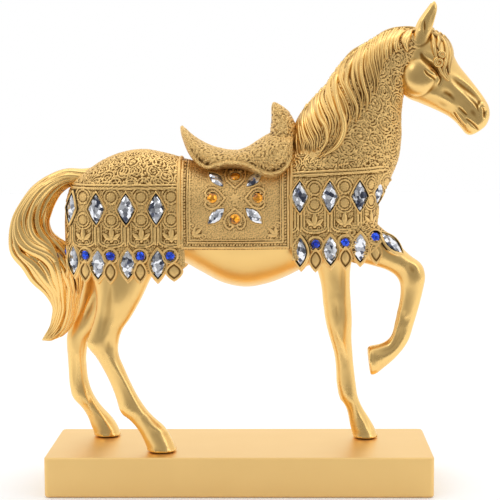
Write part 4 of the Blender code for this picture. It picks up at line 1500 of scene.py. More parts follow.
def outline(cut: Cut, width: float, length: float, count: int = 24) -> Array:
    """A stone's outline, from its right corner round.

    Args:
        cut: the stone's cut.
        width: its width.
        length: its length.
        count: how many points.

    Returns:
        The points, shape (count, 2).
    """
    t = np.arange(count) / count * 4
    if cut is Cut.LOZENGE:
        corners = np.array([(1, 0), (0, 1), (-1, 0), (0, -1), (1, 0)], float)
        swell = 1 + 0.09 * np.sin(np.pi * (t % 1))
        x, y = swell * np.interp(t, range(5), corners[:, 0]), swell * np.interp(t, range(5), corners[:, 1])
    else:
        turn = t * math.pi / 2
        x, y = np.cos(turn), np.sin(turn)
        if cut is Cut.MARQUISE:
            x = np.sign(x) * (1 - np.abs(y) ** 1.9)
    return np.stack([x * width / 2, y * length / 2], 1)


@dataclass
class Stones:
    """The stones and the rims that hold them."""

    palette: Palette
    nodes: dict[str, Piece]
    rim_points: int = 32
    seats: list[Seat] = field(default_factory=list)

    def cut_of(self, name: str) -> Cut:
        """A stone's cut, by its name."""
        clear = Cut.MARQUISE if "hem" in name or "cloth" in name else Cut.LOZENGE
        return Cut.ROUND if name.startswith(("blue", "amber")) else clear

    def sizes(self, name: str) -> Pair:
        """How much wider and longer a stone looks than its solid."""
        clear = (1.4, 1.5) if "cloth" in name else (1.1, 1.03) if "hem" in name else (1.14, 1.03)
        return clear if name.startswith("crystal") else (1.0, 1.0)

    def build(self) -> None:
        """Makes each stone, and one piece of all the rims."""
        rims = Shell()
        for name, node in sorted(self.nodes.items()):
            if name in ("horse", "plinth"):
                continue
            seat = Seat.of(node)
            wider, longer = self.sizes(name)
            seat = replace(seat, width=seat.width * wider, length=seat.length * longer)
            self.seats.append(seat)
            cut = self.cut_of(name)
            small = name.startswith("amber") or "cloth" in name
            self.rim(rims, seat, cut, 0.7 if small else 1.0)
            self.stone(seat, cut)
        made = rims.mesh_object("bezels")
        self.palette.gild(made, BEZEL)

    def stone(self, seat: Seat, cut: Cut) -> None:
        """Makes a stone: a girdle, two rows of facets and a table.

        Args:
            seat: where it sits.
            cut: its outline.
        """
        count = {Cut.LOZENGE: 8, Cut.MARQUISE: 12, Cut.ROUND: 10}[cut]
        shell = Shell()
        rings = []
        for height, share, turned in ((0.0, 1.0, 0), (1.15, 1.0, 0), (1.75, 0.72, 1), (2.15, 0.40, 0)):
            flat = outline(cut, seat.width * share, seat.length * share, count * 2)[turned::2]
            rings.append([seat.at(x, y, height) for x, y in flat])
        b, c, d = count, 2 * count, 3 * count
        faces = []
        for i in range(count):
            j = (i + 1) % count
            faces.append([i, j, b + j, b + i])
            faces += [[b + i, b + j, c + i], [b + j, c + j, c + i]]
            faces += [[c + i, c + j, d + j], [c + i, d + j, d + i]]
        faces += [list(range(count))[::-1], list(range(d, d + count))]
        shell.solid(np.array(rings).reshape(-1, 3), faces)
        made = shell.mesh_object("stone_" + seat.name, smooth=False)
        finishes = {"blue": (BLUE_STONE, Slot.BLUE), "amber": (AMBER_STONE, Slot.AMBER)}
        finish, slot = finishes.get(seat.name.split("_")[0], (CLEAR, Slot.CRYSTAL))
        self.palette.paint(made, finish, slot, seat.name)

    def rim(self, rims: Shell, seat: Seat, cut: Cut, scale: float) -> None:
        """Adds the rim round a stone: a rounded wall with a thin inner edge, whose tones paint shadow in the
        gap round the stone and a highlight on its top.

        Args:
            rims: what the rim is added to.
            seat: the stone's seat.
            cut: its outline.
            scale: the rim's size, as a share of the usual one.
        """
        # Each row: how far out, how high, and its tone; tone 0 paints the gap next to the stone as dark
        # shadow, 0.75 a highlight on the rounded top, and 0.1 shade where the rim's foot meets the cloth
        profile = (
            (-0.3, 0.6, 0.0),
            (0.75, 0.6, 0.0),
            (0.85, 1.2, 0.05),
            (0.97, 1.6, 0.5),
            (1.25, 1.75, 0.75),
            (1.65, 1.5, 0.65),
            (1.95, 0.9, 0.4),
            (2.15, 0.3, 0.1),
            (2.25, -0.6, 0.1),
        )
        grid, tones = [], []
        for out, height, tone in profile:
            grow = out * scale
            flat = outline(cut, seat.width + 2 * grow, seat.length + 2 * grow * 1.25, self.rim_points)
            grid.append([seat.at(x, y, height * scale) for x, y in flat])
            tones.append([tone] * self.rim_points)
        rims.grid(np.array(grid), caps=False, tone=np.array(tones))


@dataclass
class Bay:
    """The ornament between two lozenges of a band."""

    carving: Carving
    middle: float
    half: float
    rings: Pair
    foot: float

    def draw(self) -> None:
        """Draws two rings in a loop, and below them a pouch with a three-leaf spray."""
        c, h = self.middle, 0.8
        high, low = self.rings
        for z in self.rings:
            self.carving.ring((c, z), 4.0, 0.42, h)
            self.carving.dot((c, z), 3.1, 0.35)
            for reach, count in ((2.2, 9), (1.1, 5)):
                for k in range(count):
                    a = 2 * math.pi * k / count
                    self.carving.dot((c + reach * math.cos(a), z + reach * math.sin(a)), 0.42, 0.6)
            self.carving.dot((c, z), 0.5, 0.65)
        self.carving.ring((c, high), 5.7, 0.42, h * 0.9, (20, 160))
        self.carving.ring((c, low), 5.6, 0.42, h * 0.9, (200, 340))
        side = self.half - 1.3
        bottom = self.foot + 4.6
        top = low - 5
        for inset, width in ((0.0, 0.55), (1.45, 0.42)):
            r = side - inset
            left = [(c - r, top + 3 * (inset > 0)), (c - r, bottom)]
            right = [(c + r, bottom), (c + r, top + 3 * (inset > 0))]
            turn = np.linspace(math.pi, 2 * math.pi, 16)
            cup = [(c + r * math.cos(a), bottom + (4.0 - inset) * math.sin(a)) for a in turn]
            self.carving.stroke(left + cup + right, width, h)
        self.spray(c, bottom - 0.6)

    def spray(self, c: float, z: float) -> None:
        """Draws the three leaves and the two curls below them.

        Args:
            c: the length along the trunk of their middle.
            z: the height of their foot.
        """
        self.carving.leaf((c, z + 0.6), 90, 8.6, 3.3, 0.95)
        for hand in (-1, 1):
            self.carving.leaf((c + hand * 0.6, z + 0.8), 90 - hand * 48, 6.6, 2.5, 0.85)
            self.carving.scroll((c + hand * 2.7, z - 0.6), 1.7, 1.1, math.pi / 2, -hand, 0.4, 0.7)
        self.carving.dot((c, z + 0.4), 0.9, 1.0)


def band_carving(
    name: str,
    seats: list[Seat],
    hem: float,
    cord: Points,
    limits: Pair,
    rings: Pair,
) -> Carving:
    """Draws a cloth's jewelled band.

    Args:
        name: the start of its stones' names.
        seats: every stone's seat.
        hem: the height of its hem.
        cord: the cord's x and z at its two ends.
        limits: the lengths along the trunk that the band lies between.
        rings: the heights of the bays' two rings.

    Returns:
        The carving, over length along the trunk and height.
    """
    right = [seat for seat in seats if "_right_" in seat.name or seat.name.endswith("leg")]
    places = {seat.name: (run_along(seat.middle[0]), seat.middle[2]) for seat in right}
    stones = f"crystal_{name}"
    clear = sorted(at for key, (at, _) in places.items() if key.startswith(stones) and "hem" not in key)
    drops = sorted(place for key, place in places.items() if key.startswith(stones + "_hem"))
    rounds = sorted(place for key, place in places.items() if key.startswith(f"blue_{name}"))
    made = Carving((limits[0], hem - 4), (limits[1], 206))
    (xa, za), (xb, zb) = cord
    for rise in (0.0, 1.9):
        made.stroke([(run_along(xa), za + rise), (run_along(xb), zb + rise)], 0.75, 0.9)
    slope = (zb - za) / (run_along(xb) - run_along(xa))
    pitch = np.median(np.diff(clear))
    between = [(a + b) / 2 for a, b in zip(clear, clear[1:])]
    middles = [clear[0] - pitch / 2, *between, clear[-1] + pitch / 2]
    foot = np.mean([z for _, z in rounds]) + 4.6
    for middle in middles:
        lift = slope * (middle - run_along(xa)) if name == "chest" else 0
        Bay(made, middle, pitch / 2, (rings[0] + lift, rings[1] + lift), foot + lift * 0.4).draw()
    for at in clear:
        top = rings[1] - 4
        for dx in (-0.55, 0.55):
            made.stroke([(at + dx * 1.2, top), (at + dx * 1.2, foot + 2)], 0.42, 0.7)
    for at, z in rounds:
        made.ring((at, z), 4.6, 0.6, 0.8)
        made.leaf((at, z - 5.0), 270, 7.5, 3.0, 0.6)
    for at, z in drops:
        for hand in (-1, 1):
            t = np.linspace(-1, 1, 30)
            made.stroke(np.stack([at + hand * 6.0 * (1 - np.abs(t) ** 1.75), z + t * 10.2], 1), 0.55, 0.5)
    made.granulate(0.95, 0.45, 0.22, 11)
    return made


def saddle_cloth_carving(hem: float, seats: list[Seat]) -> Carving:
    """Draws the saddle cloth: a stippled field in a double border, with a spray in each corner.

    Args:
        hem: the height of its hem.
        seats: every stone's seat.

    Returns:
        The carving, over length along the trunk and height.
    """
    low, high, top = -35.0, 32.0, 206
    made = Carving((low - 2, hem - 4), (high + 2, 208))
    for inset, width, height in ((0.9, 0.8, 0.7), (4.2, 0.45, 0.6), (5.6, 0.35, 0.5)):
        left, right, foot = low + inset, high - inset, hem + inset
        made.stroke([(left, top), (left, foot), (right, foot), (right, top)], width, height)
    for k in range(60):
        at = top - k * 1.8
        for x in (low + 2.6, high - 2.6):
            if at > hem + 2:
                made.dot((x, at), 0.6, 0.5)
    for x in np.arange(low + 4, high - 3, 1.8):
        made.dot((x, hem + 2.6), 0.6, 0.5)
    for hand, x in ((1, low + 8), (-1, high - 8)):
        foot = np.array((x, hem + 8.0))
        for angle, length in ((45, 8.0), (8, 6.0), (82, 6.0)):
            made.leaf(foot, 90 - hand * (90 - angle), length, 2.0, 0.6)
        made.scroll(foot + (hand * 5.5, -0.5), 1.8, 1.2, 0, hand, 0.4, 0.4)
        made.scroll(foot + (-hand * 0.5, 6.5), 1.8, 1.2, 0, -hand, 0.4, 0.4)
    ambers = np.array([s.middle[[0, 2]] for s in seats if s.name.startswith("amber") and s.middle[1] < 0])
    middle = ambers.mean(0)
    half = ((6.2, 0), (8.6, 2.9), (11.2, 5.4), (14.4, 6.3), (17.2, 5.2))
    half = (*half, (18.2, 3.2), (17.2, 1.5), (15.6, 1.8), (15.8, 3.2))
    for amber in ambers:
        way = (amber - middle) / norm(amber - middle)
        side = np.array((-way[1], way[0]))
        for hand in (-1, 1):
            line = curve_through(np.array([middle + way * a + side * hand * b for a, b in half]), 0.3)
            made.stroke(line, 0.5, 0.7)
            made.dot(line[-1], 0.7, 0.8)
    for k in range(8):
        made.leaf(middle, k * 45.0 + 22.5, 3.6, 1.5, 0.35)
    made.dot(middle, 0.8, 0.5)
    made.granulate(0.95, 0.45, 0.2, 5)
    return made


@dataclass
class Neck:
    """The neck's carved cover."""

    palette: Palette
    step: float = 0.52

    def build(self) -> Piece:
        """Makes the piece.

        Returns:
            The piece.
        """
        rows = curve_through([*inner_neck()[:2], *NECK[2:]], self.step)
        count = 2 * round(58 / self.step)
        grid = even_rings(rows, count)
        out = outward(grid)
        if out[len(out) // 2, count // 4, 1] < 0:
            out = -out
        girth = norm(np.roll(grid, -1, axis=1) - grid, axis=2)
        girth = np.cumsum(girth, axis=1) - girth
        total = girth[:, -1:] + girth[:, 1:2]
        girth = np.where(girth > total / 2, girth - total, girth)
        middles = rows[:, :4].reshape(-1, 2, 2).mean(1)
        length = np.cumsum(norm(np.gradient(middles, axis=0), axis=1))
        carving = Carving((-62, -4), (62, length[-1] + 4))
        filigree(carving, 12.0, 7, 0.42, 0.8, 3.2)
        along_neck = np.broadcast_to(length[:, None], girth.shape)
        height = carving.sample(girth, along_neck)
        tone = 0.56 + 0.7 * (carving.tones(girth, along_neck) - 0.5)
        shell = Shell()
        shell.grid(grid + out * (height + 0.25)[..., None], caps=False, tone=tone)
        made = shell.mesh_object("neck_cover")
        return self.palette.gild(made, CARVED)


@dataclass
class Shoulder:
    """The carved cover on top of the raised foreleg."""

    palette: Palette
    step: float = 0.42
    thickness: float = 0.5

    def build(self) -> Piece:
        """Makes the piece.

        Returns:
            The piece.
        """
        rows = curve_through(grown(FORELEG_RIGHT[:4], self.thickness), self.step)
        rows = rows[: int(len(rows) * 0.56)]
        grid = even_rings(rows, 179)
        out = outward(grid)
        if ((grid - grid.mean(1, keepdims=True)) * out).sum() < 0:
            out = -out
        girth = np.cumsum(norm(np.roll(grid, -1, axis=1) - grid, axis=2), axis=1)
        length = np.broadcast_to((np.arange(len(grid)) * self.step)[:, None], girth.shape)
        far, end = float(girth.max()), float(length.max())
        carving = Carving((-2, -2), (far + 2, end + 2))
        filigree(carving, 6.4, 31, 0.4, 0.7, 1.6)
        carving.stroke([(0, end - 0.9), (far, end - 0.9)], 0.9, 0.7)
        shell = Shell()
        height = carving.sample(girth, length)
        height[-1] = -0.8
        shell.grid(grid + out * height[..., None], caps=False, tone=carving.tones(girth, length))
        made = shell.mesh_object("shoulder_cover")
        return self.palette.gild(made, CARVED)


@dataclass
class Saddle:
    """The saddle: seat, cantle and pommel, with the x, y and z points of their piping."""

    palette: Palette
    piping: tuple = (
        (-34, -6, 225.5), (-31, -13, 216), (-28.2, -18, 210), (-23.4, -21.8, 205),
        (-18.5, -23.2, 202.8), (-12.6, -23.6, 204.4), (-3.7, -24.2, 205.6), (5, -25, 204.4),
        (13.7, -27.8, 200.6), (20, -29.8, 199), (27, -30.2, 200.8), (31.3, -28.4, 204.7),
        (33.4, -26, 211.5),
    )

    def build(self) -> Piece:
        """Makes the piece.

        Returns:
            The piece.
        """
        shell = Shell()
        for rows in (CANTLE, SEAT, POMMEL):
            shell.grid(sections(rows, 0.8, 120))
        line = curve_through(self.piping, 0.8)
        halves = 0.9 + 0.4 * np.sin(np.pi * np.linspace(0.1, 0.9, len(line)))
        for side in (1, -1):
            shell.grid(tube(line * (1, side, 1), halves, 24))
        made = fused(shell, "saddle", 0.74, 4)
        points, out = coordinates(made.data), normals(made.data)
        x, y, z = drawn(points).T
        carving = Carving((-40, -40), (40, 40), 0.15)
        filigree(carving, 10.5, 21, 0.45, 0.6, 2.4)
        over = np.where(np.abs(out[:, 2]) > 0.6, y, z - 215)
        beside = np.interp(x, [row[0] for row in self.piping], [row[2] for row in self.piping])
        upper = np.clip((z - beside - 1.2) / 1.5, 0, 1)
        lift = 0.7 * carving.sample(x, over)
        move_points(made, points + out * (lift * upper * MM)[:, None])
        tone = 0.54 + 0.6 * (carving.tones(x, over) - 0.5) * upper
        made.data.attributes["tone"].data.foreach_set("value", tone.astype(np.float32))
        shade_hollows(made, 0.4, 6)
        return self.palette.gild(made, SADDLE)


@dataclass
class Head:
    """The head with its ears, closed eyes, nostrils and mouth."""

    palette: Palette
    balls: tuple = (
        (113.8, 0, 258.5, 13.9, 13.9, 14.5, 2.45),
        (119.0, 10.8, 258.9, 4.6, 3.2, 3.2, 2.0),
        (125.0, 7.4, 263.4, 4.4, 3.8, 5.4, 2.0),
        (151.6, 4.6, 237.6, 3.3, 3.0, 4.6, 2.2),
        (145.5, 0, 226.0, 4.4, 5.0, 4.4, 2.0),
    )
    hollows: tuple = (
        Groove(((112.8, 272.2), (116, 268.7), (119.2, 265.6), (122.3, 262.8)), 2.2, 1.6),
        Groove(((133.5, 256.6), (135.3, 255), (140.4, 251.1), (145.2, 247.5), (148.8, 244.3),
                (150.2, 240)), 2.2, 1.5),
        Groove(((127.6, 249), (129.1, 247.6), (131.4, 245.6), (134, 243)), 2.4, 0.7),
        Groove(((124.5, 243.3), (130, 239.3)), 1.8, 0.4),
        Groove(((117.6, 247.8), (122, 250.2), (124.4, 253.4)), 2.2, 0.5),
        Groove(((144.8, 237.2), (146.8, 234.6), (149.2, 230.6)), 2.2, 0.6),
        Groove(((119.6, 246.8), (128.3, 243.6), (135.4, 239.3)), 1.6, -0.6),
        Groove(((115.3, 273), (118.8, 270.7), (122.4, 267.5)), 1.8, -0.7),
    )
    lines: tuple = (
        Groove(((119.2, 265.6), (122.3, 262.8), (124.7, 258.9), (125.7, 255.8), (124.4, 252.7)), 0.9, 1),
        Groove(((115.2, 261.7), (117.1, 259.3), (119.1, 257.7), (121.7, 256.1)), 0.5, 1.3),
        Groove(((115.9, 262.8), (118.7, 260.9), (121.5, 258.5), (122.8, 256.2)), 0.8, -0.5),
        Groove(((137.2, 238.9), (140, 236.1), (142.8, 233.5)), 0.5, 0.7),
        Groove(((142.1, 231.7), (145.7, 228.6), (149.1, 225.2), (150.6, 223.6)), 0.6, 1.1),
        Groove(((134.2, 235.7), (137.4, 231.4), (141.2, 226.8)), 0.5, 0.6),
        Groove(((135.4, 236.3), (138.6, 232), (142.4, 227.4)), 0.6, -0.4),
        Groove(((151.8, 238.8), (153.4, 237.2), (153.6, 234.4), (153.3, 232.1)), 0.9, 1.5),
        Groove(((140.7, 247.9), (144.7, 243.9), (147.9, 240.4), (149.7, 236)), 0.7, 0.5),
        Groove(((115.8, 292.3), (115.7, 287.4), (115.3, 283.5)), 0.6, 0.5),
    )

    def build(self) -> Piece:
        """Makes the piece.

        Returns:
            The piece.
        """
        shell = Shell()
        shell.grid(sections(HEAD, 0.8, 96))
        for side in (1, -1):
            shell.grid(sections([(*r[:4], side * r[4], r[5]) for r in EAR], 0.5, 40))
            for x, y, z, *half in self.balls:
                if y or side == 1:
                    shell.grid(self.ball((x, side * y, z), *half))
        made = fused(shell, "head", 0.54, 5)
        cut_grooves(made, self.hollows, (96, 216), (162, 308), blur=1.2)
        cut_grooves(made, self.lines, (96, 216), (162, 308), blur=0.25)
        points, out = coordinates(made.data), normals(made.data)
        _, y, z = drawn(points).T
        up_ear = np.clip((z - 285.5) / 15.5, 0, 1) * (np.abs(y) > 3.5)
        sideways = np.clip(np.abs(out[:, 1]) * 1.6 - 0.5, 0, 1) * (out[:, 0] > -0.75)
        dent = sideways * np.sin(np.pi * up_ear) * np.clip(out[:, 0] * 0.5 + 0.7, 0, 1)
        move_points(made, points - out * (dent * 1.1 * MM)[:, None])
        shade_hollows(made, 0.10, 6)
        return self.palette.gild(made, POLISHED)

    def ball(self, middle: Place, long: float, wide: float, high: float, power: float) -> Array:
        """A round form of the head.

        Args:
            middle: its middle.
            long: half its length.
            wide: half its width.
            high: half its height.
            power: 2 is an ellipsoid, more is flatter on its side.

        Returns:
            A grid of its points.
        """
        x, y, z = middle
        turn = np.linspace(0, 2 * np.pi, 48, endpoint=False)
        grid = []
        for a in np.linspace(-0.47, 0.47, 26) * math.pi:
            reach = math.cos(a) ** (2 / power)
            rise = math.copysign(abs(math.sin(a)) ** (2 / power), a)
            across, up = long * reach * np.cos(turn), high * reach * np.sin(turn)
            ring = [x + across, np.full(48, y + wide * rise), z + up]
            grid.append(np.stack(ring, 1))
        return np.array(grid)


@dataclass
class Hair:
    """Mane, forelock and tail, made of grooved locks."""

    palette: Palette
    neck: BVHTree
    head: BVHTree
    seed: int = 4
    mane_paths: tuple = (
        ((106, 287), (101, 283.5), (99, 279.5), (101, 275)),
        ((99, 286.5), (95, 282), (93, 275.5), (91.5, 270.5), (90, 266.5)),
        ((91, 284), (88, 277.5), (87, 270), (87.5, 263), (88, 257)),
        ((84.5, 280.5), (82.5, 273.5), (82, 266), (84, 258), (85.5, 251), (85, 244)),
        ((79, 277), (76, 269.5), (75, 261), (75.5, 254.5), (77.5, 247), (77.5, 239)),
        ((76, 275), (71.5, 266), (70, 258.5), (71, 252.5), (74, 245), (75.5, 238.5), (74, 231)),
        ((66, 267), (62.5, 260), (62, 254), (65.5, 247), (68.5, 240.5), (70, 235), (67.5, 225)),
        ((61, 260), (59.5, 253), (60.5, 246), (62.5, 237.5), (64.5, 231), (64, 224), (60, 216), (52, 210)),
        ((55, 251.5), (53, 244), (55.5, 236.5), (58.5, 230), (59, 225.5), (55.5, 216), (48, 209)),
        ((50.5, 247), (49, 240.5), (50.5, 235.5), (53, 230), (55, 225), (53.5, 216)),
        ((47, 243), (45, 237.5), (44.5, 233), (46.5, 226.5), (49, 221), (48.5, 213.5)),
        ((43.5, 239.5), (41, 233.5), (40.5, 228), (42.5, 221.5), (45, 216.5), (45.5, 211)),
        ((39.5, 232.5), (37, 227), (36, 221), (35.5, 214.5), (36, 207.5)),
    )
    long_locks: tuple = (
        (((108.5, 287), (106, 282.5), (103.8, 278), (105, 273)), 2),
        (((103.5, 287.5), (99.5, 283), (97.5, 278), (98.2, 272.5)), 2),
        (((97.5, 286.5), (94, 281), (92.2, 275), (92, 268)), 1.9),
        (((105.5, 286.5), (100.5, 283.5), (98.5, 279), (100, 274.5)), 1.7),
        (((100.5, 287), (96.5, 282), (94.5, 275.5), (94.5, 270.5)), 1.6),
        (((107.5, 287), (104.5, 283.5), (102.5, 279), (104.5, 275)), 1.5),
        (((64, 264), (61, 255), (61.5, 246), (63.5, 237.5), (65.5, 231), (65.5, 224.5), (61.5, 216),
         (53, 209.5)), 1.9),
        (((72.5, 271), (68.5, 262), (67.5, 254), (70.5, 246.5), (73.5, 239), (73, 230.5)), 1.5),
        (((80, 276), (77, 268), (76.5, 260), (78, 252), (80, 244), (79.5, 237)), 1.4),
        (((51.5, 247), (49.5, 240), (51, 233), (54.5, 226.5), (55, 219), (50.5, 211)), 1.5),
    )
    fall: tuple = (
        (106, 286.5), (113, 287.4), (119.2, 286.4), (124, 284), (128.6, 280.2), (131.4, 276.2),
        (133, 271.8), (133.8, 267),
    )
    front_locks: tuple = (
        (((120.5, 287.4), (120.7, 283.3), (121, 278.5), (121.6, 274), (122.6, 270), (123.6, 268)), 1.9),
        (((122.6, 286), (124.3, 282.5), (124.3, 279.8), (123.9, 276.9), (125, 273.4)), 1.8),
        (((125, 284.6), (128, 279.8), (129.4, 274), (128.6, 267.5), (127.2, 261), (130.4, 256)), 2.1),
        (((123.9, 264.6), (124.9, 262), (126.5, 259.2), (128.9, 256.4), (130.8, 255)), 1.4),
        (((127.4, 283), (130.4, 278), (131.6, 271.5), (130.4, 264.5), (131, 258.8)), 1.9),
    )
    tail_locks: tuple = (
        (0.16, (0.3, 0.7), (2, 0.85), (5, 0.9), (8, 0.9), (9.5, 0.85), (11, 0.8), (12.5, 0.85),
         (14.5, 0.8)),
        (0.15, (0.3, 0.4), (2, 0.62), (4, 0.66), (6, 0.72), (7.5, 0.66), (9, 0.6), (10.5, 0.5),
         (11.5, 0.55), (12.5, 0.7)),
        (0.14, (0.6, 0.3), (2.5, 0.4), (4.3, 0.4), (5.8, 0.32), (6.9, 0.05), (7.6, -0.25), (8.2, -0.5)),
        (0.17, (0.3, 0.0), (2, 0.1), (3.6, 0.12), (5, 0.05), (6, -0.12), (7, -0.3), (8, -0.5),
         (9, -0.6), (10.2, -0.6), (12.4, -0.7)),
        (0.21, (0.4, -0.35), (1.7, -0.4), (3.3, -0.25), (4.6, -0.3), (6, -0.52), (7.1, -0.66),
         (8, -0.6), (9.2, -0.38), (10.3, -0.2), (11.6, -0.02), (13, 0.04), (14.2, 0.2), (15.8, 0.4)),
        (0.15, (0.3, -0.7), (2, -0.75), (4, -0.68), (5.5, -0.8), (6.5, -0.86), (7.5, -0.85),
         (8.5, -0.82), (9.5, -0.76), (11.5, -0.85)),
        (0.17, (2, 0.55), (3.5, 0.55), (5, 0.6), (6.2, 0.52), (7, 0.25), (7.8, 0.0), (8.4, -0.28),
         (9.4, -0.4), (11, -0.45), (13.2, -0.5)),
        (0.19, (3.5, 0.75), (5, 0.74), (6.3, 0.66), (7.3, 0.45), (7.9, 0.22), (8.4, -0.04),
         (9, -0.14), (10.6, 0.02), (12, 0.3), (15, 0.6)),
        (0.17, (7.4, 0.78), (8.2, 0.6), (9, 0.45), (10, 0.35), (11, 0.34), (12, 0.5), (13, 0.64),
         (14.3, 0.72)),
        (0.14, (8.8, 0.2), (9.6, 0.14), (10.6, 0.22), (11.6, 0.2), (12.6, 0.24), (13.6, 0.3), (15, 0.5)),
        (0.15, (7.6, -0.94), (8.8, -0.92), (9.8, -0.93), (10.8, -0.92), (11.8, -0.95)),
        (0.17, (10.2, -0.52), (11.3, -0.42), (12.3, -0.36), (13.4, -0.35), (14.5, -0.3), (15.6, 0.0)),
    )

    def lies(self, x: float, z: float, side: int) -> float:
        """How far out the neck's side is at a place seen from the side."""
        hit = self.neck.ray_cast(Vector((x, side * 80.0, z)), Vector((0, -side, 0)))[0]
        return 0.6 if hit is None else abs(hit.y)

    def mane(self) -> Piece:
        """Makes the mane: two layers of locks on each side, long locks over them, and the crest.

        Returns:
            The piece.
        """
        random = np.random.default_rng(self.seed)
        crest = curve_through(CREST, 0.5)
        fine = [curve_through(path, 0.3) for path in self.mane_paths]
        guides = np.array([evened(np.insert(path, 1, 0, axis=1), 30)[:, [0, 2]] for path in fine])
        shell = Shell()
        # The first layer on each side is toned dark: painted shade between the lighter locks over it
        near = ((-1, 40, 1.7, 0.0, 0.12), (-1, 33, 0.85, 1.3, 0.95))
        far = ((1, 28, 1.9, 0.0, 0.15), (1, 22, 1.1, 1.3, 0.95))
        for side, count, wide, lift, shade in near + far:
            for i in range(count):
                at = (i + 0.5 + random.uniform(-0.3, 0.3)) / count * (len(guides) - 1)
                k = min(int(at), len(guides) - 2)
                flat = guides[k] + (guides[k + 1] - guides[k]) * (at - k)
                flat = flat[0] + (flat - flat[0]) * random.uniform(0.84, 1.04)
                flat[:, 1] += 0.9 * np.linspace(1, 0, 30) ** 3
                half = wide * random.uniform(0.75, 1.25)
                self.lock(shell, flat, side, half, lift, shade * random.uniform(0.6, 1.1))
        line = np.stack([crest[:, 0], np.zeros(len(crest)), crest[:, 1]], 1)
        share = np.linspace(0, 1, len(line))
        # The crest is toned dark as painted shade
        crown = tube(line[::2], 1.1 + 0.4 * np.sin(np.pi * share[::2]), 32, 1.0, (0, 1, 0), 9, 0.16)
        shell.grid(crown, tone=np.full(crown.shape[:2], 0.22))
        # A dark tube under the crest paints the shade beneath the locks
        under = tube(line[::4] + (1.5, 0, -1.9), 1.8 + 1.2 * np.sin(np.pi * share[::4]), 20)
        shell.grid(under, tone=np.full(under.shape[:2], 0.15))
        for side in (-1, 1):
            for path, half in self.long_locks:
                self.strand(shell, path, side, half, 2.2, self.lies)
        made = shell.mesh_object("mane")
        shade_hollows(made, 0.14, 2)
        return self.palette.gild(made, HAIR)

    def lock(self, shell: Shell, flat: Array, side: int, wide: float, lift: float, shade: float) -> None:
        """Adds one lock of the mane.

        Args:
            shell: what the lock is added to.
            flat: its x and z points, from the crest to its tip.
            side: -1 on the near side and 1 on the far side.
            wide: half its width.
            lift: how far it stands off the neck.
            shade: how light it is, 1 being full; lower values paint shade on it.
        """
        count = len(flat)
        t = np.linspace(0, 1, count)
        out = np.array([self.lies(x, z, side) for x, z in flat]) + lift * np.clip(t * 6, 0, 1)
        line = np.stack([flat[:, 0], side * eased(out), flat[:, 1]], 1)
        halves = 0.3 + (wide - 0.3) * np.sin(np.pi * (0.26 + 0.74 * t)) ** 0.7
        near = 0.5 * np.clip(1 - 4 * t, 0, 1)
        facing = np.stack([-near, np.full(count, float(side)), 1.2 * near], 1)
        shell.grid(tube(line, halves, 16, 0.95, facing, 4, 0.2), tone=shade * lock_tones(count, 16, 4, 1.3))

    def forelock(self) -> Piece:
        """Makes the forelock, which falls between the ears and down both sides of the face.

        Returns:
            The piece.
        """
        shell = Shell()
        middle = curve_through(self.fall, 0.6)
        t = np.linspace(0, 1, len(middle))
        for k, spread in enumerate((-4.2, -2.1, 0, 2.1, 4.2)):
            y = spread * np.sin(np.pi * np.clip(t * 0.85 + 0.1, 0, 1)) + 0.5 * np.sin(7 * t + k)
            drop = 0.16 * abs(spread) ** 1.6
            line = np.stack([middle[:, 0] - drop * 0.5, y, middle[:, 1] - drop * 0.6], 1)
            end = int(len(t) * (1 - 0.05 * abs(spread)))
            halves = 0.3 + 1.6 * np.sqrt(np.sin(np.pi * (0.2 + 0.8 * np.linspace(0, 1, end))))
            lock = tube(line[:end], halves, 16, 0.8, (0.5, 0, 0.86), 4, 0.2)
            # The five tubes take a low tone: painted shade under the strands that fall over them
            shell.grid(lock, tone=0.3 * lock_tones(end, 16, 4, 1.2))
        for side in (-1, 1):
            for path, half in self.front_locks:
                # A wider strand of tone 0 under each lock paints the shade in the gaps between the strands
                self.strand(shell, path, side, half + 0.7, -1.1, self.face, 0.0)
                self.strand(shell, path, side, half * 0.85, 0.8, self.face, 0.6)
            for cx, cz, size in ((124.2, 266.3, 2.6), (126.3, 271.2, 1.9)):
                turn = np.linspace(0, 3.2 * math.pi, 60)
                reach = size * (1 - turn / turn[-1]) ** 0.7 + 0.3
                x, z = cx + reach * np.cos(turn + 2), cz + reach * np.sin(turn + 2)
                out = self.face(cx, cz, side) + 1.3
                curl = np.stack([x, np.full(60, side * out), z], 1)
                shell.grid(tube(curl, np.linspace(0.9, 0.6, 60), 12))
        made = shell.mesh_object("forelock")
        shade_hollows(made, 0.25, 3)
        return self.palette.gild(made, HAIR)

    def face(self, x: float, z: float, side: int) -> float:
        """How far out the head's side is at a place seen from the side."""
        hit = self.head.ray_cast(Vector(real((x, side * 60.0, z))), Vector((0, -side, 0)))[0]
        return 1.5 if hit is None else abs(hit.y) / MM

    def strand(
        self,
        shell: Shell,
        path: Points,
        side: int,
        half: float,
        lift: float,
        onto: Callable[[float, float, int], float],
        shade: float = 1.0,
    ) -> None:
        """Adds one lock along a drawn path.

        Args:
            shell: what the lock is added to.
            path: its x and z points.
            side: -1 on the near side and 1 on the far side.
            half: half its width.
            lift: how far it stands off the surface that it lies on.
            onto: tells, from x, z and side, how far out that surface is.
            shade: how light it is, 1 being full; lower values paint shade on it.
        """
        flat = curve_through(path, 0.7)
        share = np.linspace(0, 1, len(flat))
        out = np.array([onto(x, z, side) for x, z in flat])
        out = eased(out) + lift * np.clip(share * 6, 0, 1)
        halves = 0.25 + (half - 0.25) * np.sin(np.pi * (0.12 + 0.88 * share)) ** 0.6
        line = np.stack([flat[:, 0], side * out, flat[:, 1]], 1)
        tone = shade * lock_tones(len(line), 16, 4, 1.2)
        shell.grid(tube(line, halves, 16, 0.8, (0, side, 0), 4, 0.22), tone=tone)

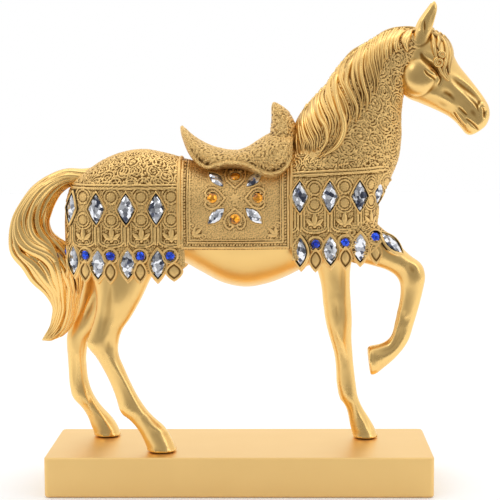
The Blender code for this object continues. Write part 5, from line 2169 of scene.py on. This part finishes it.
    def tail(self) -> Piece:
        """Makes the tail: a core, slim locks that wind round it, and the large ones on both its sides.

        Returns:
            The piece.
        """
        random = np.random.default_rng(self.seed + 5)
        rows = curve_through(TAIL, 1.5)
        middle = (rows[:, :2] + rows[:, 2:4]) / 2
        reach = rows[:, :2] - middle
        table = np.array(TAIL)
        gaps = np.diff(table[:, :2] + table[:, 2:4], axis=0, prepend=0)
        places = np.cumsum(norm(gaps, axis=1))
        places = (places - places[0]) / (places[-1] - places[0])
        shell = Shell()
        slim = 0.84
        core = np.hstack([middle + reach * slim, middle - reach * slim, rows[:, 4:5], rows[:, 5:6] * slim])
        core = np.array([section(row, LIMB_SQUARENESS, 48) for row in core])
        # The core is toned dark: painted shade between the locks that wind round it
        shell.grid(core, tone=np.full(core.shape[:2], 0.3))
        t = np.linspace(0, 1, len(rows))
        size = np.minimum(norm(reach, axis=1), rows[:, 5])
        for k in range(16):
            wave = 0.22 * np.sin(2 * np.pi * (1.3 * t + random.uniform(0, 1)))
            angle = 2 * math.pi * k / 16 + 0.9 * t + wave
            end = int(len(t) * random.uniform(0.86, 1.0))
            taper = np.sqrt(np.clip(1.02 - t * len(t) / end, 0.02, 1)) ** 0.5
            halves = np.clip(size * 0.36, 0.4, 3.2) * taper
            self.tail_lock(shell, rows, t[2:end], angle[2:end], halves[2:end], 0.82)
        for side in (-1, 1):
            for share, *path in self.tail_locks:
                stations = curve_through(np.array(path, float) * (1, 0.1), 0.12) * (1, 10)
                at = np.interp(stations[:, 0], range(len(TAIL)), places)
                angle = side * np.arccos(np.clip(stations[:, 1], -0.97, 0.97))
                taper = np.sin(np.pi * (0.1 + 0.88 * np.linspace(0, 1, len(at)))) ** 0.6
                width = np.interp(at, t, norm(reach, axis=1))
                self.tail_lock(shell, rows, at, angle, np.clip(width * share, 0.5, 3.2) * taper, 0.94)
        made = shell.mesh_object("tail")
        shade_hollows(made, 0.12, 2)
        return self.palette.gild(made, HAIR)

    def tail_lock(
        self, shell: Shell, rows: Points, at: Place, angle: Place, halves: Place, share: float
    ) -> None:
        """Adds one lock of the tail.

        Args:
            shell: what the lock is added to.
            rows: the tail's cross-sections.
            at: where along them the lock's points lie, from 0 to 1.
            angle: where round them the points lie.
            halves: half the lock's width.
            share: how far out it lies, as a share of the tail's breadth.
        """
        t = np.linspace(0, 1, len(rows))
        here = np.stack([np.interp(at, t, rows[:, k]) for k in range(6)], 1)
        middle, reach = (here[:, :2] + here[:, 2:4]) / 2, (here[:, :2] - here[:, 2:4]) / 2
        cos, sin = np.cos(angle), np.sin(angle)
        out = np.stack([reach[:, 0] * cos, here[:, 5] * sin, reach[:, 1] * cos], 1)
        line = np.stack([middle[:, 0], here[:, 4], middle[:, 1]], 1) + out * share
        side = out / (norm(out, axis=1)[:, None] + 1e-9)
        shell.grid(tube(line, halves, 14, 0.75, side, 4, 0.22), tone=lock_tones(len(line), 14, 4))


@dataclass
class Trim:
    """The leaf-shaped tabs along the hems, and the cloth's rolled borders."""

    palette: Palette
    seats: list[Seat]
    casting: BVHTree

    def build(self) -> Piece:
        """Makes the tabs, one under each stone of the trim.

        Returns:
            The piece.
        """
        shell = Shell()
        foremost = max(seat.middle[0] for seat in self.seats if seat.name.startswith("blue_rump"))
        for seat in self.seats:
            if "hem" in seat.name:
                self.tab(shell, seat, seat.middle - seat.out * 0.3 - seat.along * 0.9, 12.6, 23.8)
            elif seat.name.startswith("blue"):
                below = seat.middle + (0, 0, -8.6)
                start = real(below + seat.out * 8)
                hit = self.casting.ray_cast(Vector(start), Vector(-seat.out), 0.016)[0]
                if hit is not None:
                    below = drawn(hit)
                if foremost - 2 < seat.middle[0] < foremost + 1:
                    self.tab(shell, seat, below + (2.4, 0, -0.9), 11.4, 12.8, upright=True)
                else:
                    self.tab(shell, seat, below + (0, 0, -1.1), 8.8, 15.6, upright=True)
        made = shell.mesh_object("hem_tabs")
        shade_hollows(made, 0.10, 2)
        return self.palette.gild(made, CARVED)

    def tab(
        self, shell: Shell, seat: Seat, middle: Place, width: float, length: float, upright: bool = False
    ) -> None:
        """Adds a pointed leaf with a raised edge.

        Args:
            shell: what the leaf is added to.
            seat: the stone's seat, whose directions it takes.
            middle: its middle.
            width: its width.
            length: its length.
            upright: whether it hangs straight down, however the stone is turned.
        """
        along, across = seat.along, seat.across
        if upright:
            along = np.array((0.0, 0.0, 1.0)) - seat.out * seat.out[2]
            along /= norm(along)
            across = np.cross(along, seat.out)
        rings = []
        ground = ((0.02, 0.7), (0.35, 0.75), (0.6, 0.35), (0.7, 0.3))
        edge = ((0.76, 0.95), (0.84, 1.25), (0.93, 1.1), (1.0, 0.4), (0.98, -1.0), (0.5, -1.2))
        for share, height in (*ground, *edge):
            flat = outline(Cut.MARQUISE, width * share, length * share, 40)
            rings.append([middle + across * x + along * y + seat.out * height for x, y in flat])
        shell.grid(np.array(rings))

    def hoops(self) -> Piece:
        """Makes the rolled borders of the saddle cloth.

        Returns:
            The piece.
        """
        shell = Shell()
        for at, thick, hem in ((-36, 1.5, 153), (33, 1.2, 153)):
            row = TRUNK[np.argmin(np.abs(TRUNK[:, 0] - at))]
            cloth = Cloth(self.palette, "hoop", at - 1, at + 1, hem, CARVED)
            line = cloth.draped(row, 160)[4:-4]
            line[:, 0] = at
            side = line - (at, 0, (row[1] + row[2]) / 2)
            side /= norm(side, axis=1)[:, None]
            shell.grid(tube(line, np.full(len(line), thick * 0.9), 14, 1.0, side))
        made = shell.mesh_object("cloth_borders")
        return self.palette.gild(made, CARVED)


# The studio


@dataclass
class Studio:
    """Camera, lights, backdrop and floor."""

    eye: Triple = (0.0266, -0.9025, 0.2421)
    yaw: float = -1.246
    pitch: float = -5.851
    roll: float = -0.324
    lens: float = 103.0
    around: tuple = ((0.0, 0.34), (0.13, 0.38), (0.36, 0.85), (1.0, 1.0))
    top_gain: float = 0.3
    table: float = 0.42
    target: Triple = (0.0, 0.0, 0.16)

    def camera(self) -> None:
        """Makes the camera."""
        data = bpy.data.cameras.new("camera")
        data.lens, data.sensor_width = self.lens, 36.0
        data.clip_start, data.clip_end = 0.05, 50.0
        yaw, pitch, roll = (math.radians(v) for v in (self.yaw, self.pitch, self.roll))
        forward = Vector((math.sin(yaw) * math.cos(pitch), math.cos(yaw) * math.cos(pitch), math.sin(pitch)))
        right = Vector((math.cos(yaw), -math.sin(yaw), 0))
        up = right.cross(forward)
        across = right * math.cos(roll) + up * math.sin(roll)
        top = up * math.cos(roll) - right * math.sin(roll)
        made = linked("camera", data)
        made.matrix_world = Matrix((across, top, -forward)).transposed().to_4x4()
        made.location = self.eye
        bpy.context.scene.camera = made

    def light(self, name: str, place: Place, size: Pair, power: float) -> None:
        """Makes a soft light that faces the horse.

        Args:
            name: its name.
            place: where it stands, in metres.
            size: its width and height.
            power: its power in watts.
        """
        data = bpy.data.lights.new(name, "AREA")
        data.shape = "RECTANGLE"
        data.size, data.size_y = size
        data.energy = power
        made = linked(name, data)
        made.location = place
        made.rotation_euler = (Vector(self.target) - Vector(place)).to_track_quat("-Z", "Y").to_euler()

    def world(self) -> None:
        """Makes the surroundings: white to look at, and darker to the sides where they shine in the gold."""
        world = bpy.data.worlds.new("studio")
        world.use_nodes = True
        bpy.context.scene.world = world
        world.node_tree.nodes.clear()
        nodes = Nodes(world.node_tree)
        place = nodes.add("TexCoord")
        split = nodes.add("SeparateXYZ", links={0: place.outputs["Generated"]})
        depth = nodes.add("MapRange", {"From Min": -1.0}, {"Value": split.outputs["Y"]})
        sides = nodes.ramp(depth.outputs[0], [(position, (value,) * 3) for position, value in self.around])
        total = nodes.add("Math", {1: self.top_gain, 2: 1.0}, {0: split.outputs["Z"]})
        total.operation = "MULTIPLY_ADD"
        shine = nodes.add("Background", links={"Color": sides, "Strength": total.outputs[0]})
        seen = nodes.add("Background", {"Color": (1, 1, 1, 1), "Strength": 1.0})
        ray = nodes.add("LightPath").outputs["Is Camera Ray"]
        mix = nodes.add("MixShader", links={0: ray, 1: shine.outputs[0], 2: seen.outputs[0]})
        nodes.add("OutputWorld", links={0: mix.outputs[0]})

    def floor(self) -> None:
        """Makes the pale floor."""
        mesh = bpy.data.meshes.new("floor")
        reach = 3.0
        edge = -self.table
        corners = [(-reach, edge, 0), (reach, edge, 0), (reach, reach, 0), (-reach, reach, 0)]
        mesh.from_pydata(corners, [], [(0, 1, 2, 3)])
        made = linked("floor", mesh)
        made.location.z = -0.0004
        material = bpy.data.materials.new("floor")
        material.use_nodes = True
        shader = material.node_tree.nodes["Principled BSDF"]
        shader.inputs["Base Color"].default_value = (0.93, 0.93, 0.93, 1)
        shader.inputs["Roughness"].default_value = 0.9
        shader.inputs["Emission Color"].default_value = (1, 1, 1, 1)
        shader.inputs["Emission Strength"].default_value = 0.1
        mesh.materials.append(material)

    def build(self) -> None:
        """Makes everything round the statue."""
        bpy.context.scene.view_settings.view_transform = "Standard"
        self.camera()
        self.world()
        self.floor()
        self.light("key", (-0.9, -1.1, 1.2), (0.6, 0.6), 1.9)
        self.light("fill", (1.3, -0.9, 0.8), (0.4, 1.0), 1.6)
        self.light("top", (0.0, 0.3, 1.5), (1.2, 0.7), 2.0)


def neck_tree() -> BVHTree:
    """The neck's and trunk's surface in drawing units, which the mane lies on."""
    return tree_of([sections(NECK, 2.0, 60), trunk_sections(3.0, 60)])


def limb_tree() -> BVHTree:
    """The surface of the legs' tops and the neck's foot, which the cloths lie over."""
    tops = [rows[:6] for rows in (HIND_LEG_RIGHT, HIND_LEG_LEFT, FORELEG_LEFT, FORELEG_RIGHT)]
    return tree_of([sections(grown(rows, 0.15), 1.5, 60) for rows in (*tops, grown(NECK[:4], 0.7))])


def surface_tree(made: Piece) -> BVHTree:
    """An object's surface, in metres, for rays to meet."""
    corners = [vertex.co for vertex in made.data.vertices]
    return BVHTree.FromPolygons(corners, [tuple(face.vertices) for face in made.data.polygons])


@dataclass
class Barding:
    """The rump's, the chest's and the saddle's cloths, with what is carved on them."""

    palette: Palette
    seats: list[Seat]
    limbs: BVHTree
    rump_hem: float = 138.0
    chest_hem: float = 145.8
    saddle_hem: float = 153.0

    def build(self) -> None:
        """Makes the three cloths."""
        self.rump()
        self.chest()
        self.saddle()

    def rump(self) -> None:
        """Makes the rump's cloth, with a level cord over its band."""
        cord = ((-108, 190.3), (-35, 190.3))
        band = band_carving("rump", self.seats, self.rump_hem, cord, (-135, -33), (185.2, 171.2))
        crown = Carving((-112, -70), (-33, 70))
        filigree(crown, 9.2, 17, 0.42, 0.75, 2.5)
        cloth = Cloth(self.palette, "rump_cloth", -108.5, -35, self.rump_hem, CARVED, limbs=self.limbs)
        replace(cloth, band=band, crown=crown, band_top=(193.2, 193.2), lean=(-43, -35, 2.6)).build()

    def chest(self) -> None:
        """Makes the chest's cloth, whose cord rises towards the front."""
        cord = ((33, 197.3), (96, 200.8))
        band = band_carving("chest", self.seats, self.chest_hem, cord, (31, 124), (189.2, 179.3))
        crown = Carving((30, -75), (92, 75))
        filigree(crown, 10.8, 19, 0.42, 0.8, 2.9)
        cloth = Cloth(self.palette, "chest_cloth", 33, 88, self.chest_hem, CARVED, limbs=self.limbs)
        replace(cloth, band=band, crown=crown, band_top=(200.4, 203.6), lean=(74, 88, -3.0)).build()

    def saddle(self) -> None:
        """Makes the saddle's stippled cloth, which is all band."""
        band = saddle_cloth_carving(self.saddle_hem, self.seats)
        cloth = Cloth(self.palette, "saddle_cloth", -36, 33, self.saddle_hem, STIPPLED)
        replace(cloth, band=band, band_top=(260, 260)).build()


def build_statue(nodes: dict[str, Piece], palette: Palette) -> None:
    """Builds every piece of the statue.

    Args:
        nodes: the frame's solids by name.
        palette: the finishes.
    """
    stones = Stones(palette, nodes)
    stones.build()
    Body(palette).build()
    head = Head(palette).build()
    Barding(palette, stones.seats, limb_tree()).build()
    Neck(palette).build()
    Shoulder(palette).build()
    Saddle(palette).build()
    hair = Hair(palette, neck_tree(), surface_tree(head))
    hair.mane()
    hair.forelock()
    hair.tail()
    trim = Trim(palette, stones.seats, surface_tree(nodes["horse"]))
    trim.build()
    trim.hoops()


def finish_plinth(node: Piece) -> None:
    """Gives the plinth's solid its material."""
    node.data.materials.clear()
    node.data.materials.append(PLINTH.material())


def main() -> None:
    """Builds the scene in order."""
    logging.basicConfig(level=logging.INFO, format="%(message)s")
    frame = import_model()
    palette = Palette()
    Studio().build()
    build_statue(frame["nodes"], palette)
    finish_plinth(frame["nodes"]["plinth"])


if __name__ == "__main__":
    main()
